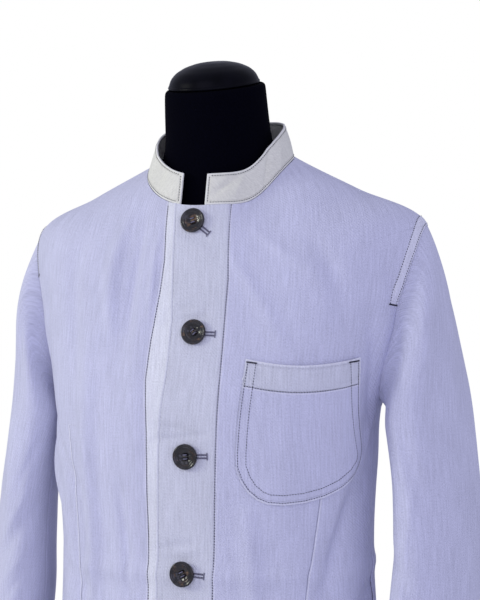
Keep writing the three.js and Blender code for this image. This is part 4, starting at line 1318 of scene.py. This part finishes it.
def roundedOutline(points, radius=1.2):
    # outline corners cut and rounded
    rounded = [points[0]]
    for before, corner, after in zip(points, points[1:], points[2:]):
        before, corner, after = (np.array(p, float) for p in (before, corner, after))
        toBefore, toAfter = before - corner, after - corner
        reach = min(radius, np.linalg.norm(toBefore) / 2.2, np.linalg.norm(toAfter) / 2.2)
        start, end = corner + unit(toBefore) * reach, corner + unit(toAfter) * reach
        for share in np.linspace(0, 1, 4):
            rounded.append(tuple((1 - share) ** 2 * start + 2 * share * (1 - share) * corner + share ** 2 * end))
    return rounded + [points[-1]]


capLean = math.radians(form["tilt"])
cap = {
    "shiftX": -1.2, "rise": seamGap,
    "outline": [(0, 0), (47.3, 0), (48.8, 1), (48.8, 2.6), (47.8, 3.8), (45.4, 10), (39.6, 16.2), (29.2, 21.5),
                (16.6, 24.7), (0, 26)],
}
capPlace = (cap["shiftX"], form["neckTopY"] - cap["rise"] * math.sin(capLean),
            form["neckTopZ"] + shoulderHeight + cap["rise"])
turnedPiece("neck_cap", roundedOutline(cap["outline"], 4), gloss, capPlace, capLean)
poleTop = shoulderHeight + form["bottomZ"] - seamGap
poleOutline = [(0, 14.3), (34, 14.3), (34, 20.3), (18, 26.3), (15, 29.3), (15, poleTop), (0, poleTop)]
turnedPiece("stand_pole", roundedOutline(poleOutline), poleMetal, (0, 0, 0), steps=64)
footOutline = [(0, 0), (159, 0), (160, 1), (160, 9), (158.5, 12.5), (155, 14), (0, 14)]
turnedPiece("stand_foot", roundedOutline(footOutline, 2), gloss, (0, 0, 0), steps=128)
print("dress form and stand made")

# Plain floor, soft studio light and the camera
studio = {"ambient": (0.465, 0.48, 0.61, 1), "background": (1, 1, 1, 1), "floorRadius": 1.6,
          "floor": (0.8, 0.8, 0.82, 1), "floorRoughness": 0.7, "aim": (0, 0, 0.7)}
floorMaterial, tree, shader = startMaterial("paleFloor")
shader.inputs["Base Color"].default_value = studio["floor"]
shader.inputs["Roughness"].default_value = studio["floorRoughness"]
bm = bmesh.new()
bmesh.ops.create_circle(bm, cap_ends=True, segments=128, radius=studio["floorRadius"])
floorMesh = bpy.data.meshes.new("floor")
bm.to_mesh(floorMesh)
bm.free()
floorMesh.materials.append(floorMaterial)
floor = bpy.data.objects.new("floor", floorMesh)
bpy.context.collection.objects.link(floor)

world = bpy.data.worlds.new("studio")
bpy.context.scene.world = world
world.use_nodes = True
tree = world.node_tree
ambient = tree.nodes["Background"]
ambient.inputs["Color"].default_value = studio["ambient"]
seen = addNode(tree, "Background", (0, -200), {"Color": studio["background"]})
rays = addNode(tree, "LightPath", (0, 400))
choose = addNode(tree, "MixShader", (250, 100), {
    0: rays.outputs["Is Camera Ray"], 1: ambient.outputs[0], 2: seen.outputs[0]})
tree.links.new(choose.outputs[0], tree.nodes["World Output"].inputs["Surface"])

lights = {
    "key": {"place": (-2.1, -1.4, 1.4), "size": 0.7, "power": 20, "colour": (1, 1.02, 0.88)},
    "front": {"place": (-0.3, -2.1, 1.75), "size": 1.2, "power": 4.5, "colour": (1, 0.97, 1.25)},
    "fill": {"place": (1.3, -1.9, 0.9), "size": 1.4, "power": 4.5, "colour": (1, 0.96, 1.45)},
    "rightSide": {"place": (2.2, -0.2, 0.9), "size": 1.4, "power": 1.2, "colour": (1, 0.93, 1.4)},
}
for name, look in lights.items():
    lamp = bpy.data.lights.new(name, "AREA")
    lamp.size, lamp.energy, lamp.color = look["size"], look["power"], look["colour"]
    lampObject = bpy.data.objects.new(name, lamp)
    lampObject.location = look["place"]
    aim = Vector(studio["aim"]) - Vector(look["place"])
    lampObject.rotation_euler = aim.to_track_quat("-Z", "Y").to_euler()
    bpy.context.collection.objects.link(lampObject)

view = {"azimuth": 20, "distance": 1.5, "height": 0.762, "lens": 84, "shift": 0.03}
camera = bpy.data.cameras.new("camera")
camera.lens, camera.sensor_width, camera.shift_x = view["lens"], 36, view["shift"]
cameraObject = bpy.data.objects.new("camera", camera)
turn = math.radians(view["azimuth"])
cameraObject.location = (view["distance"] * math.sin(turn), -view["distance"] * math.cos(turn), view["height"])
cameraObject.rotation_euler = (math.pi / 2, 0, turn)
bpy.context.collection.objects.link(cameraObject)
bpy.context.scene.camera = cameraObject
print("studio set")

bpy.context.view_layer.update()
